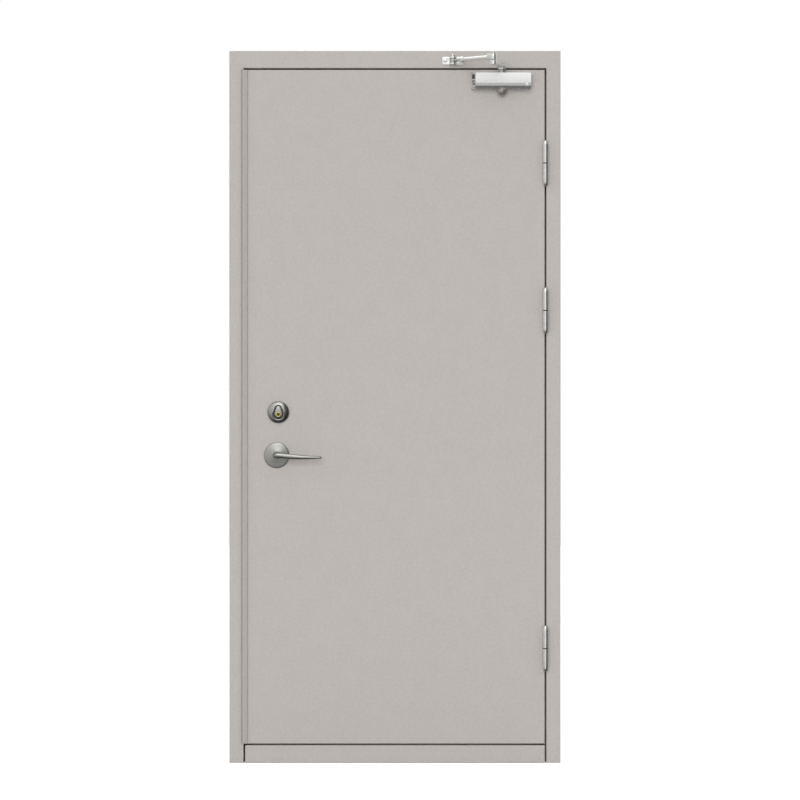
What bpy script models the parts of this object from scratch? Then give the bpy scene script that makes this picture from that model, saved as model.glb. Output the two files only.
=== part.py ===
"""Steel fire door: pressed steel frame, filled leaf, lift-off hinges, lever, deadbolt and door closer.

Metres, +Z up. The viewer stands at -Y, the hinges are at +X and the leaf opens towards -Y.
The origin lies in the middle of the sill's underside.
"""

from math import asin, atan2, cos, hypot, pi, radians, sin, sqrt, tan

import bmesh
import bpy
from mathutils import Matrix, Vector

# Frame
FRAME_WIDTH = 1.000
FRAME_HEIGHT = 2.150
FRAME_DEPTH = 0.110
JAMB_FACE = 0.043
HEAD_FACE = 0.0522
STOP_WIDTH = 0.020
WALL_RETURN = 0.018
FRAME_SHEET = 0.0015
FRAME_BEND = 0.0025
SILL_HEIGHT = 0.0537

# Leaf and its gaps
LEAF_THICKNESS = 0.050
LEAF_SHEET = 0.0012
LEAF_BEND = 0.0015
LEAF_GAP = 0.005
LOCK_GAP = 0.0075
SEAL_THICKNESS = 0.003
SEAL_WIDTH = 0.012

# Lip that covers the gap on the lock side
LIP_SHEET = 0.0015
LIP_BEND = 0.0018
LIP_LAP_ON_LEAF = 0.0043
LIP_LAP_ON_JAMB = 0.0064
LIP_CLEARANCE = 0.0052

# Hinges, placed by the split between their halves
TOP_HINGE_DROP = 0.2818
MIDDLE_HINGE_DROP = 0.7268
BOTTOM_HINGE_RISE = 0.2873
PIN_STAND_OFF = 0.011
KNUCKLE_RADIUS = 0.009
KNUCKLE_LENGTH = 0.058
TIP_LENGTH = 0.011
TIP_RADIUS = 0.0045
PIN_RADIUS = 0.0050
PIN_LENGTH = 0.040
PIN_CLEARANCE = 0.0004
WASHER_THICKNESS = 0.0016
PLATE_THICKNESS = 0.0020
PLATE_DEPTH = 0.032
PLATE_INSET = 0.004

# Lever set
LEVER_BACKSET = 0.0925
LEVER_Z = 0.929
ROSE_RADIUS = 0.0385
ROSE_THICKNESS = 0.0095
NECK_RADIUS = 0.0095
LEVER_REACH = 0.137
LEVER_STAND_OFF = 0.056
LEVER_BEND = 0.019
LEVER_DROP = 0.0062
LEVER_DROP_POWER = 3.0
GRIP_HALF_HEIGHT = 0.0082
TIP_HALF_HEIGHT = 0.0029
GRIP_TAPER_POWER = 1.6
GRIP_HALF_DEPTH = 0.0056
GRIP_BOW = 0.004
TIP_ROUNDING = 1.4
SPINDLE_SIDE = 0.008
SPINDLE_BORE_RADIUS = 0.0075
SPINDLE_IN_LEVER = 0.018

# Deadbolt
BOLT_BACKSET = 0.0975
BOLT_Z = 1.059
COLLAR_RADIUS = 0.033
COLLAR_THICKNESS = 0.013
CYLINDER_RADIUS = 0.0150
CYLINDER_LEG_RADIUS = 0.0080
CYLINDER_DROP = 0.0065
CYLINDER_RISE = 0.0125
CYLINDER_PROUD = 0.0008
PLUG_RADIUS = 0.0085
PLUG_PROUD = 0.0012
PLUG_BORE_DEPTH = 0.025
KEY_SLOT_DEPTH = 0.012
THUMBTURN_LENGTH = 0.030
THUMBTURN_HALF_WIDTH = 0.006
THUMBTURN_STEM = 0.020
THUMBTURN_IN_BORE = 0.014

# Latch and bolt in the lock edge
FACEPLATE_WIDTH = 0.025
FACEPLATE_HEIGHT = 0.057
FACEPLATE_THICKNESS = 0.0025
FACEPLATE_CORNER = 0.003
LATCH_WIDTH = 0.012
LATCH_HEIGHT = 0.019
DEADBOLT_WIDTH = 0.012
DEADBOLT_HEIGHT = 0.026
BOLT_LENGTH = 0.045
LATCH_NOSE = 0.009
STRIKE_MARGIN = 0.004

# Door closer, placed from the leaf's top and hinge edges
CLOSER_DROP = 0.0098
CLOSER_INSET = 0.0413
CLOSER_LENGTH = 0.181
CLOSER_HEIGHT = 0.049
CLOSER_DEPTH = 0.040
CLOSER_EDGE = 0.005
CLOSER_UNDER_EDGE = 0.0025
CLOSER_UPPER_BAND = (0.0180, 0.0)
CLOSER_MIDDLE_BAND = (0.0095, 0.0028)
CLOSER_LOWER_BAND = (0.0, 0.0110)
CLOSER_CHAMFER = 0.0012
END_CAP_LENGTH = 0.014
END_CAP_DEPTH = 0.023
VALVE_SOCKET_WIDTH = 0.0140
VALVE_SOCKET_HEIGHT = 0.0145
VALVE_SOCKET_DROP = 0.245
VALVE_RECESS_RADIUS = 0.0074
VALVE_RECESS_DROP = 0.61
VALVE_DEPTH = 0.0022
PINION_INSET = 0.0877
PINION_STAND_OFF = 0.022
PINION_RADIUS = 0.0095
PINION_DEPTH_IN_BODY = 0.030
PINION_NECK = 0.010
PINION_SQUARE = 0.011
PINION_COLLAR_RADIUS = 0.0145
PINION_COLLAR_HEIGHT = 0.0018
PINION_CAP_RADIUS = 0.015
PINION_CAP_DROP = 0.0205

# Closer arms and shoe
ARM_OVER_LEAF = 0.0054
ARM_THICKNESS = 0.008
ARM_HALF_WIDTH = 0.0100
ARM_HALF_WIDTH_AT_ELBOW = 0.0080
ARM_BOSS_RADIUS = 0.0130
ARM_KNUCKLE_RADIUS = 0.0105
ARM_KNUCKLE_HEIGHT = 0.013
ELBOW_INSET = 0.1605
ELBOW_STAND_OFF = 0.220
ELBOW_GAP = 0.0010
FOREARM_BLOCK_HEIGHT = 0.018
FOREARM_BLOCK_LENGTH = 0.018
FOREARM_BLOCK_HALF_WIDTH = 0.0095
FOREARM_AXIS_RISE = 0.0078
ELBOW_SCREW_RADIUS = 0.0065
ELBOW_SCREW_HEIGHT = 0.0050
TUBE_RADIUS = 0.0065
TUBE_START = 0.062
ROD_RADIUS = 0.0045
ROD_END = 0.135
CLAMP_LENGTH = 0.018
CLAMP_RADIUS = 0.0096
CLAMP_CHAMFER = 0.0008
EYE_RADIUS = 0.0100
EYE_HEIGHT = 0.0130
SHOE_INSET = 0.2795
SHOE_STAND_OFF = 0.022
SHOE_LUG_THICKNESS = 0.005
SHOE_LUG_RADIUS = 0.0105
SHOE_PLATE_LENGTH = 0.064
SHOE_PLATE_THICKNESS = 0.004
SHOE_PLATE_CORNER = 0.003
SHOE_PIN_RADIUS = 0.0040
SHOE_SCREW_RADIUS = 0.0050
SHOE_SCREW_HEIGHT = 0.0075

# Fits, and how far a cutter reaches past what it cuts
CUT_OVER = 0.010
TOUCH = 0.0003
MITRE_GAP = 0.0002
SLIDE = 0.0005
BORE_SIDES = 24
PLUG_SIDES = 28
ROUND_SIDES = 36

# Places that follow from the sizes above
HALF_WIDTH = FRAME_WIDTH / 2
FRONT_Y = -FRAME_DEPTH / 2
BACK_Y = FRAME_DEPTH / 2
REBATE_X = HALF_WIDTH - JAMB_FACE
SOFFIT_X = REBATE_X - STOP_WIDTH
HEAD_UNDER_Z = FRAME_HEIGHT - HEAD_FACE
HEAD_STOP_WIDTH = STOP_WIDTH * HEAD_FACE / JAMB_FACE
LEAF_LEFT = -REBATE_X + LOCK_GAP
LEAF_RIGHT = REBATE_X - LEAF_GAP
LEAF_BOTTOM = SILL_HEIGHT + LEAF_GAP
LEAF_TOP = HEAD_UNDER_Z - LEAF_GAP
LEAF_BACK_Y = FRONT_Y + LEAF_THICKNESS
STOP_Y = LEAF_BACK_Y + LEAF_GAP + SEAL_THICKNESS
PIN_X = REBATE_X - LEAF_GAP / 2
PIN_Y = FRONT_Y - PIN_STAND_OFF
HINGE_SPLITS = (
    LEAF_TOP - TOP_HINGE_DROP,
    LEAF_TOP - MIDDLE_HINGE_DROP,
    LEAF_BOTTOM + BOTTOM_HINGE_RISE,
)
LEAF_MID_Y = FRONT_Y + LEAF_THICKNESS / 2
LEVER_X = LEAF_LEFT + LEVER_BACKSET
BOLT_X = LEAF_LEFT + BOLT_BACKSET
CLOSER_TOP = LEAF_TOP - CLOSER_DROP
CLOSER_BOTTOM = CLOSER_TOP - CLOSER_HEIGHT
CLOSER_RIGHT = LEAF_RIGHT - CLOSER_INSET
CLOSER_LEFT = CLOSER_RIGHT - CLOSER_LENGTH
PINION_X = CLOSER_RIGHT - PINION_INSET
PINION_Y = FRONT_Y - PINION_STAND_OFF
ARM_BOSS_Z = CLOSER_TOP + PINION_NECK
ARM_UNDER_Z = LEAF_TOP + ARM_OVER_LEAF
ARM_TOP_Z = ARM_UNDER_Z + ARM_THICKNESS
KNUCKLE_TOP_Z = ARM_UNDER_Z + ARM_KNUCKLE_HEIGHT
ELBOW_X = PIN_X - ELBOW_INSET
ELBOW_Y = FRONT_Y - ELBOW_STAND_OFF
FOREARM_UNDER_Z = KNUCKLE_TOP_Z + ELBOW_GAP
FOREARM_TOP_Z = FOREARM_UNDER_Z + FOREARM_BLOCK_HEIGHT
FOREARM_Z = FOREARM_UNDER_Z + FOREARM_AXIS_RISE
SHOE_X = PIN_X - SHOE_INSET
SHOE_Y = FRONT_Y - SHOE_STAND_OFF

# Finishes: name, colour, metallic, roughness
PAINT = ("powder_coated_sheet_steel", (0.51, 0.48, 0.45), 0.0, 0.55)
SATIN = ("satin_stainless_steel", (0.60, 0.59, 0.57), 1.0, 0.35)
ZINC = ("zinc_coated_steel", (0.62, 0.62, 0.61), 1.0, 0.40)
SILVER = ("silver_painted_aluminium", (0.66, 0.67, 0.67), 0.6, 0.45)
GREY_CAP = ("grey_plastic", (0.42, 0.42, 0.41), 0.0, 0.50)
BRASS = ("brass", (0.75, 0.58, 0.28), 1.0, 0.30)
SEAL = ("fire_seal_strip", (0.05, 0.05, 0.05), 0.0, 0.80)
CORE = ("mineral_board", (0.62, 0.58, 0.50), 0.0, 0.90)


def clear_scene():
    for item in list(bpy.data.objects):
        bpy.data.objects.remove(item, do_unlink=True)


def finish_material(finish):
    name, colour, metallic, roughness = finish
    material = bpy.data.materials.get(name) or bpy.data.materials.new(name)
    material.use_nodes = True
    shader = material.node_tree.nodes["Principled BSDF"]
    shader.inputs["Base Color"].default_value = (*colour, 1.0)
    shader.inputs["Metallic"].default_value = metallic
    shader.inputs["Roughness"].default_value = roughness
    return material


def add_object(name, bm, finish, place=(0, 0, 0), parent=None, smooth=False):
    """Turn a bmesh into a named object; its mesh is given around the point place."""
    bmesh.ops.recalc_face_normals(bm, faces=bm.faces)
    mesh = bpy.data.meshes.new(name)
    bm.to_mesh(mesh)
    bm.free()
    mesh.materials.append(finish_material(finish))
    if smooth:
        mesh.shade_smooth()
        mesh.set_sharp_from_angle(angle=radians(32))
    item = bpy.data.objects.new(name, mesh)
    bpy.context.scene.collection.objects.link(item)
    item.location = place
    if parent is not None:
        item.parent = parent
        item.location = Vector(place) - Vector(parent.location)
    return item


def add_pivot(name, place):
    pivot = bpy.data.objects.new(name, None)
    pivot.empty_display_size = 0.05
    pivot.location = place
    bpy.context.scene.collection.objects.link(pivot)
    return pivot


def cut(item, cutter):
    """Take the cutter's shape out of the item, and hide the cutter."""
    cutter.hide_render = True
    cutter.display_type = "WIRE"
    modifier = item.modifiers.new("cut_" + cutter.name, "BOOLEAN")
    modifier.operation = "DIFFERENCE"
    modifier.object = cutter


def fuse(item, other):
    """Join the other shape to the item in one body, and hide the other."""
    other.hide_render = True
    other.display_type = "WIRE"
    modifier = item.modifiers.new("fuse_" + other.name, "BOOLEAN")
    modifier.operation = "UNION"
    modifier.object = other


def box_mesh(low, high):
    bm = bmesh.new()
    bmesh.ops.create_cube(bm, size=1.0)
    middle = [(a + b) / 2 for a, b in zip(low, high)]
    sides = [b - a for a, b in zip(low, high)]
    bmesh.ops.scale(bm, vec=sides, verts=bm.verts)
    bmesh.ops.translate(bm, vec=middle, verts=bm.verts)
    return bm


def loft_mesh(rings, closed=False):
    """Skin a row of rings that have as many points each; a row that isn't closed gets two end faces."""
    bm = bmesh.new()
    rows = [[bm.verts.new(point) for point in ring] for ring in rings]
    pairs = list(zip(rows, rows[1:]))
    if closed:
        pairs.append((rows[-1], rows[0]))
    for near, far in pairs:
        for i in range(len(near)):
            j = (i + 1) % len(near)
            bm.faces.new((near[i], near[j], far[j], far[i]))
    if not closed:
        bm.faces.new(list(reversed(rows[0])))
        bm.faces.new(rows[-1])
    return bm


def turned_mesh(profile, sides=ROUND_SIDES):
    """Turn a closed profile of (radius, height) points round the Z axis."""
    bm = bmesh.new()
    points = [bm.verts.new((radius, 0, height)) for radius, height in profile]
    edges = []
    for i, point in enumerate(points):
        following = points[(i + 1) % len(points)]
        if profile[i][0] > 0 or profile[(i + 1) % len(profile)][0] > 0:
            edges.append(bm.edges.new((point, following)))
    bmesh.ops.spin(
        bm, geom=points + edges, axis=(0, 0, 1), cent=(0, 0, 0), angle=2 * pi, steps=sides,
    )
    bmesh.ops.remove_doubles(bm, verts=bm.verts, dist=0.00002)
    return bm


def turned(bm, rotation):
    bmesh.ops.transform(bm, matrix=rotation, verts=bm.verts)
    return bm


def facing_front(bm):
    """Lay a turned piece down so that its +Z points to the viewer at -Y."""
    return turned(bm, Matrix.Rotation(pi / 2, 4, "X"))


def facing_back(bm):
    return turned(bm, Matrix.Rotation(-pi / 2, 4, "X"))


def arc(centre, radius, start, end, steps):
    angles = [start + (end - start) * i / steps for i in range(steps + 1)]
    return [(centre[0] + radius * cos(angle), centre[1] + radius * sin(angle)) for angle in angles]


def corner_arc(before, corner, after, radius, steps):
    """Points of the arc that rounds one corner and touches both of its legs."""
    back = (before - corner).normalized()
    ahead = (after - corner).normalized()
    half = back.angle(ahead) / 2
    reach = radius / tan(half)
    centre = corner + (back + ahead).normalized() * (radius / sin(half))
    first = corner + back * reach - centre
    last = corner + ahead * reach - centre
    turn = first.angle_signed(last)
    return [centre + Matrix.Rotation(-turn * i / steps, 2) @ first for i in range(steps + 1)]


def rounded_path(points, radius, steps=3, closed=False):
    """Round the corners of a path; an open path keeps its two ends as they are."""
    points = [Vector(point) for point in points]
    count = len(points)
    path = []
    for i, corner in enumerate(points):
        if not closed and i in (0, count - 1):
            path.append(corner)
        else:
            path += corner_arc(points[i - 1], corner, points[(i + 1) % count], radius, steps)
    return path


def offset_path(path, distance, closed=False):
    """Path moved to its left by a distance, with mitred corners."""
    moved = []
    for i, point in enumerate(path):
        before = path[i - 1] if closed or i > 0 else point
        after = path[(i + 1) % len(path)] if closed or i < len(path) - 1 else point
        legs = [leg.normalized() for leg in (point - before, after - point) if leg.length > 0]
        normals = [Vector((-leg.y, leg.x)) for leg in legs]
        middle = sum(normals, Vector((0, 0))).normalized()
        moved.append(point + middle * (distance / middle.dot(normals[0])))
    return moved


def sheet_outline(path, thickness):
    """Cut end of a folded sheet: the path and the same path moved by the sheet's thickness."""
    return list(path) + offset_path(path, thickness)[::-1]


def member_outline(face, stop):
    """Section of a frame member: across the wall it is (distance in from the outer edge, depth)."""
    points = [
        (0, FRONT_Y + WALL_RETURN), (0, FRONT_Y), (face, FRONT_Y), (face, STOP_Y),
        (face + stop, STOP_Y), (face + stop, BACK_Y), (0, BACK_Y), (0, BACK_Y - WALL_RETURN),
    ]
    return sheet_outline(rounded_path(points, FRAME_BEND), FRAME_SHEET)


def jamb_mesh(side):
    """side is +1 at the hinges and -1 at the lock; the top is mitred against the head."""
    outline = member_outline(JAMB_FACE, STOP_WIDTH)
    fall = HEAD_FACE / JAMB_FACE
    foot = [(side * (HALF_WIDTH - u), v, 0) for u, v in outline]
    top = [(side * (HALF_WIDTH - u), v, FRAME_HEIGHT - u * fall - MITRE_GAP) for u, v in outline]
    return loft_mesh([foot, top])


def head_mesh():
    outline = member_outline(HEAD_FACE, HEAD_STOP_WIDTH)
    fall = JAMB_FACE / HEAD_FACE
    ends = [
        [(side * (HALF_WIDTH - u * fall - MITRE_GAP), v, FRAME_HEIGHT - u) for u, v in outline]
        for side in (-1, 1)
    ]
    return loft_mesh(ends)


def sill_mesh():
    """A folded tube, open at both ends, with the step that the leaf closes against."""
    corners = [
        (FRONT_Y, 0), (FRONT_Y, SILL_HEIGHT), (STOP_Y, SILL_HEIGHT),
        (STOP_Y, SILL_HEIGHT + STOP_WIDTH), (BACK_Y, SILL_HEIGHT + STOP_WIDTH), (BACK_Y, 0),
    ]
    outer = rounded_path(corners, FRAME_BEND, closed=True)
    inner = offset_path(outer, -FRAME_SHEET, closed=True)
    half = REBATE_X - LEAF_GAP
    loops = ((-half, outer), (half, outer), (half, inner), (-half, inner))
    return loft_mesh([[(x, y, z) for y, z in loop] for x, loop in loops], closed=True)


def add_frame():
    hinge_jamb = add_object("hinge_jamb", jamb_mesh(1), PAINT)
    lock_jamb = add_object("lock_jamb", jamb_mesh(-1), PAINT)
    add_object("frame_head", head_mesh(), PAINT)
    sill = add_object("sill", sill_mesh(), PAINT)
    for side in (-1, 1):
        ends = sorted((side * (SOFFIT_X - TOUCH), side * (REBATE_X + CUT_OVER)))
        top = SILL_HEIGHT + STOP_WIDTH + CUT_OVER
        notch = box_mesh((ends[0], STOP_Y - TOUCH, -CUT_OVER), (ends[1], BACK_Y + CUT_OVER, top))
        cut(sill, add_object(f"sill_notch_{side}", notch, PAINT))
    for name, z, width, height in (
        ("latch", LEVER_Z, LATCH_WIDTH, LATCH_HEIGHT),
        ("bolt", BOLT_Z, DEADBOLT_WIDTH, DEADBOLT_HEIGHT),
    ):
        half_w = width / 2 + STRIKE_MARGIN
        half_h = height / 2 + STRIKE_MARGIN
        hole = box_mesh(
            (-REBATE_X - CUT_OVER, LEAF_MID_Y - half_w, z - half_h),
            (-REBATE_X + CUT_OVER, LEAF_MID_Y + half_w, z + half_h),
        )
        cut(lock_jamb, add_object(name + "_hole_cutter", hole, PAINT))
    return hinge_jamb


def add_seals():
    """Strips stuck on the face of the stop, 5 mm behind the closed leaf."""
    inset = (STOP_WIDTH - SEAL_WIDTH) / 2
    near = STOP_Y - TOUCH - SEAL_THICKNESS
    bottom = SILL_HEIGHT + FRAME_BEND
    top = HEAD_UNDER_Z - inset
    for name, side in (("hinge_side_seal", 1), ("lock_side_seal", -1)):
        ends = sorted((side * (SOFFIT_X + inset), side * (SOFFIT_X + inset + SEAL_WIDTH)))
        add_object(name, box_mesh((ends[0], near, bottom), (ends[1], STOP_Y - TOUCH, top)), SEAL)
    reach = SOFFIT_X + inset - TOUCH
    head_seal = box_mesh((-reach, near, top - SEAL_WIDTH), (reach, STOP_Y - TOUCH, top))
    add_object("head_seal", head_seal, SEAL)


def knuckle_profile(bore, bore_depth, pin):
    """Half of a bullet hinge from the split at height 0 up to its tip: a bore or a pin at the split."""
    outer = [(KNUCKLE_RADIUS, 0), (KNUCKLE_RADIUS, KNUCKLE_LENGTH)]
    tip = [
        (KNUCKLE_RADIUS * 0.93, KNUCKLE_LENGTH + TIP_LENGTH * 0.30),
        (KNUCKLE_RADIUS * 0.78, KNUCKLE_LENGTH + TIP_LENGTH * 0.62),
        (TIP_RADIUS, KNUCKLE_LENGTH + TIP_LENGTH * 0.90),
        (TIP_RADIUS * 0.5, KNUCKLE_LENGTH + TIP_LENGTH),
        (0, KNUCKLE_LENGTH + TIP_LENGTH),
    ]
    if pin:
        inside = [(0, -PIN_LENGTH), (bore * 0.75, -PIN_LENGTH), (bore, -PIN_LENGTH + bore * 0.5), (bore, 0)]
    else:
        inside = [(0, bore_depth), (bore, bore_depth), (bore, 0)]
    return outer + tip + inside


def knuckle_mesh(is_frame_half):
    if is_frame_half:
        bm = turned_mesh(knuckle_profile(PIN_RADIUS, 0, True), BORE_SIDES)
        return turned(bm, Matrix.Rotation(pi, 4, "X"))
    return turned_mesh(knuckle_profile(PIN_RADIUS + PIN_CLEARANCE, PIN_LENGTH + 0.002, False), BORE_SIDES)


def plate_box(side, margin=0.0):
    """Box of a hinge plate round the pin: from the knuckle back into the jamb or the leaf edge."""
    inner = LEAF_GAP / 2
    xs = sorted((side * (inner - margin * 2), side * (inner + PLATE_THICKNESS + margin)))
    z_end = KNUCKLE_LENGTH - PLATE_INSET
    low_z, high_z = (-z_end, -PLATE_INSET) if side > 0 else (PLATE_INSET, z_end)
    start = KNUCKLE_RADIUS * 0.6 if margin == 0 else KNUCKLE_RADIUS + 0.0005
    low = (xs[0], start, low_z - margin)
    high = (xs[1], PIN_STAND_OFF + PLATE_DEPTH + margin, high_z + margin)
    return low, high


def add_hinges(hinge_jamb, leaf_pan, leaf_core, pivot):
    for number, split in enumerate(HINGE_SPLITS, start=1):
        base = (PIN_X, PIN_Y, split)
        for side, role, owner in ((1, "frame_half", None), (-1, "leaf_half", pivot)):
            name = f"hinge_{number}_{role}"
            lift = WASHER_THICKNESS / 2 + TOUCH
            place = (base[0], base[1], split - side * lift)
            half = add_object(name, knuckle_mesh(side > 0), ZINC, place, owner, smooth=True)
            plate = add_object(name + "_plate", box_mesh(*plate_box(side)), ZINC, place, owner)
            fuse(half, plate)
            pocket = box_mesh(*plate_box(side, TOUCH))
            pocket_item = add_object(name + "_pocket", pocket, ZINC, place, owner)
            if side > 0:
                cut(hinge_jamb, pocket_item)
            else:
                cut(leaf_pan, pocket_item)
                cut(leaf_core, pocket_item)
        half = WASHER_THICKNESS / 2
        bore = PIN_RADIUS + TOUCH
        rim = KNUCKLE_RADIUS - 0.0004
        ring = [(bore, -half), (rim, -half), (rim, half), (bore, half)]
        add_object(f"hinge_{number}_washer", turned_mesh(ring, BORE_SIDES), GREY_CAP, base, smooth=True)


def add_leaf(pivot):
    low = (LEAF_LEFT, FRONT_Y, LEAF_BOTTOM)
    high = (LEAF_RIGHT, LEAF_BACK_Y, LEAF_TOP)
    t = LEAF_SHEET
    pan_back = LEAF_BACK_Y - t - TOUCH

    # The front pan is a tray: a face and four edge walls that reach to the back sheet
    bm = box_mesh(low, (high[0], pan_back, high[2]))
    front_edges = [edge for edge in bm.edges if all(vert.co.y < FRONT_Y + 0.001 for vert in edge.verts)]
    bmesh.ops.bevel(bm, geom=front_edges, offset=LEAF_BEND, segments=2, affect="EDGES", profile=0.5)
    pan = add_object("leaf_front_pan", bm, PAINT, (0, 0, 0), pivot)
    hollow_low = (low[0] + t, FRONT_Y + t, low[2] + t)
    hollow_high = (high[0] - t, pan_back + 0.01, high[2] - t)
    cut(pan, add_object("leaf_pan_hollow", box_mesh(hollow_low, hollow_high), PAINT, (0, 0, 0), pivot))

    back_low = (low[0], LEAF_BACK_Y - t, low[2])
    bm = box_mesh(back_low, high)
    back_edges = [edge for edge in bm.edges if all(vert.co.y > LEAF_BACK_Y - t / 2 for vert in edge.verts)]
    bmesh.ops.bevel(bm, geom=back_edges, offset=t * 0.6, segments=1, affect="EDGES", profile=0.5)
    back = add_object("leaf_back_pan", bm, PAINT, (0, 0, 0), pivot)

    core_low = [value + TOUCH for value in hollow_low]
    core_high = (hollow_high[0] - TOUCH, pan_back, hollow_high[2] - TOUCH)
    core = add_object("leaf_core", box_mesh(core_low, core_high), CORE, (0, 0, 0), pivot)
    return pan, back, core


def add_lip(pivot):
    """Folded strip along the lock edge: its flange is welded to the leaf and its cover hides the gap."""
    inner = LEAF_LEFT + LIP_LAP_ON_LEAF
    seat = FRONT_Y - TOUCH
    cover = FRONT_Y - LIP_CLEARANCE - LIP_SHEET
    points = [(-REBATE_X - LIP_LAP_ON_JAMB, cover), (inner, cover), (inner, seat), (LEAF_LEFT, seat)]
    outline = sheet_outline(rounded_path(points, LIP_BEND), LIP_SHEET)
    rings = [[(x, y, z) for x, y in outline] for z in (LEAF_BOTTOM, LEAF_TOP)]
    add_object("lock_edge_lip", loft_mesh(rings), PAINT, (0, 0, 0), pivot)


def pear_outline(margin=0.0, steps=10):
    """Round body below and small round leg above, joined by their common tangents."""
    low_r = CYLINDER_RADIUS + margin
    high_r = CYLINDER_LEG_RADIUS + margin
    lean = asin((low_r - high_r) / (CYLINDER_RISE + CYLINDER_DROP))
    bottom = arc((0, -CYLINDER_DROP), low_r, pi - lean, 2 * pi + lean, steps * 2)
    top = arc((0, CYLINDER_RISE), high_r, lean, pi - lean, steps)
    return bottom + top


def prism_mesh(outline, start_y, end_y):
    """Upright outline of (x, z) points pushed along Y."""
    return loft_mesh([[(x, y, z) for x, z in outline] for y in (start_y, end_y)])


def rose_profile(radius, thickness, bore):
    """Disc with a rounded rim, a shallow dome and a hole."""
    rim = 0.35 * thickness
    return [
        (bore, 0), (radius, 0), (radius, thickness - rim * 1.6),
        (radius - rim * 0.35, thickness - rim * 0.85), (radius - rim * 1.1, thickness - rim * 0.3),
        (radius - rim * 2.2, thickness - rim * 0.08), (radius * 0.62, thickness), (bore, thickness),
    ]


def add_deadbolt(pan, back, core, pivot):
    centre = (BOLT_X, 0, BOLT_Z)
    bore = prism_mesh(pear_outline(TOUCH), FRONT_Y - 0.03, LEAF_BACK_Y + 0.03)
    cutter = add_object("cylinder_bore", bore, CORE, centre, pivot)
    for item in (pan, back, core):
        cut(item, cutter)

    for name, facing, face_y in (
        ("deadbolt_collar", facing_front, FRONT_Y - TOUCH),
        ("thumbturn_collar", facing_back, LEAF_BACK_Y + TOUCH),
    ):
        bm = facing(turned_mesh(collar_profile(), ROUND_SIDES))
        bmesh.ops.translate(bm, vec=(0, face_y, 0), verts=bm.verts)
        collar = add_object(name, bm, SATIN, centre, pivot, smooth=True)
        cut(collar, cutter)

    # The cylinder runs through the leaf; its brass plug turns in a bore at the front end
    front_end = FRONT_Y - TOUCH - COLLAR_THICKNESS - CYLINDER_PROUD
    back_end = LEAF_BACK_Y + TOUCH + COLLAR_THICKNESS + CYLINDER_PROUD
    pear = prism_mesh(pear_outline(), front_end, back_end)
    body = add_object("deadbolt_cylinder", pear, SATIN, centre, pivot, smooth=True)
    length = PLUG_BORE_DEPTH + CUT_OVER
    bore = PLUG_RADIUS + TOUCH
    for name, start, facing in (
        ("plug_bore_front", front_end - CUT_OVER, facing_back),
        ("plug_bore_back", back_end + CUT_OVER, facing_front),
    ):
        bm = facing(turned_mesh([(0, 0), (bore, 0), (bore, length), (0, length)], PLUG_SIDES))
        bmesh.ops.translate(bm, vec=(0, start, -CYLINDER_DROP), verts=bm.verts)
        cut(body, add_object(name, bm, SATIN, centre, pivot))

    # Plug with a shallow turned rim and an upright key slot
    length = PLUG_BORE_DEPTH - 0.002
    rim = 0.001
    face = PLUG_RADIUS - rim
    profile = [(0, 0), (PLUG_RADIUS, 0), (PLUG_RADIUS, length - rim), (face, length), (0, length)]
    bm = facing_front(turned_mesh(profile, PLUG_SIDES))
    bmesh.ops.translate(bm, vec=(0, front_end - PLUG_PROUD + length, -CYLINDER_DROP), verts=bm.verts)
    plug = add_object("cylinder_plug", bm, BRASS, centre, pivot, smooth=True)
    slot_outline = [
        (-0.0009, -0.0042), (0.0016, -0.0042), (0.0016, -0.0012), (0.0009, -0.0004),
        (0.0009, 0.0042), (-0.0009, 0.0042),
    ]
    slot_outline = [(x, z - CYLINDER_DROP) for x, z in slot_outline]
    slot = prism_mesh(slot_outline, front_end - CUT_OVER, front_end + KEY_SLOT_DEPTH)
    cut(plug, add_object("key_slot", slot, BRASS, centre, pivot))

    # Thumbturn: a short stem in the back bore and a flat grip
    profile = [(0, 0), (PLUG_RADIUS, 0), (PLUG_RADIUS, THUMBTURN_STEM), (0, THUMBTURN_STEM)]
    stem = facing_back(turned_mesh(profile, PLUG_SIDES))
    bmesh.ops.translate(stem, vec=(0, back_end - THUMBTURN_IN_BORE, -CYLINDER_DROP), verts=stem.verts)
    turn = add_object("thumbturn", stem, SATIN, centre, pivot, smooth=True)
    radius = THUMBTURN_HALF_WIDTH
    reach = THUMBTURN_LENGTH / 2 - radius
    outline = arc((0, reach), radius, 0, pi, 8) + arc((0, -reach), radius, pi, 2 * pi, 8)
    outline = [(x, z - CYLINDER_DROP) for x, z in outline]
    grip = prism_mesh(outline, back_end + 0.004, back_end + THUMBTURN_STEM)
    fuse(turn, add_object("thumbturn_grip", grip, SATIN, centre, pivot))


def collar_profile():
    """Domed ring that stands out from the leaf, with a flat land round the cylinder."""
    rise = COLLAR_THICKNESS
    return [
        (0, 0), (COLLAR_RADIUS, 0), (COLLAR_RADIUS, rise * 0.20), (COLLAR_RADIUS * 0.965, rise * 0.48),
        (COLLAR_RADIUS * 0.89, rise * 0.74), (COLLAR_RADIUS * 0.80, rise * 0.91),
        (COLLAR_RADIUS * 0.70, rise * 0.985), (COLLAR_RADIUS * 0.62, rise), (0, rise),
    ]


def lever_path(steps=14):
    """Stations along the lever as (x, distance out, heading): neck, elbow, then the bowed grip."""
    straight = LEVER_STAND_OFF - LEVER_BEND
    stations = [(0.0, 0.003, pi / 2), (0.0, straight, pi / 2)]
    for k in range(1, 8):
        turn = pi / 2 * k / 7
        stations.append((LEVER_BEND * (1 - cos(turn)), straight + LEVER_BEND * sin(turn), pi / 2 - turn))
    run = LEVER_REACH - LEVER_BEND
    for k in range(1, steps + 1):
        # the stations crowd together towards the tip, where the end is rounded
        along = sin(pi / 2 * k / steps)
        stations.append((LEVER_BEND + run * along, LEVER_STAND_OFF - GRIP_BOW * along ** 2, 0.0))
    return stations


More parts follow.
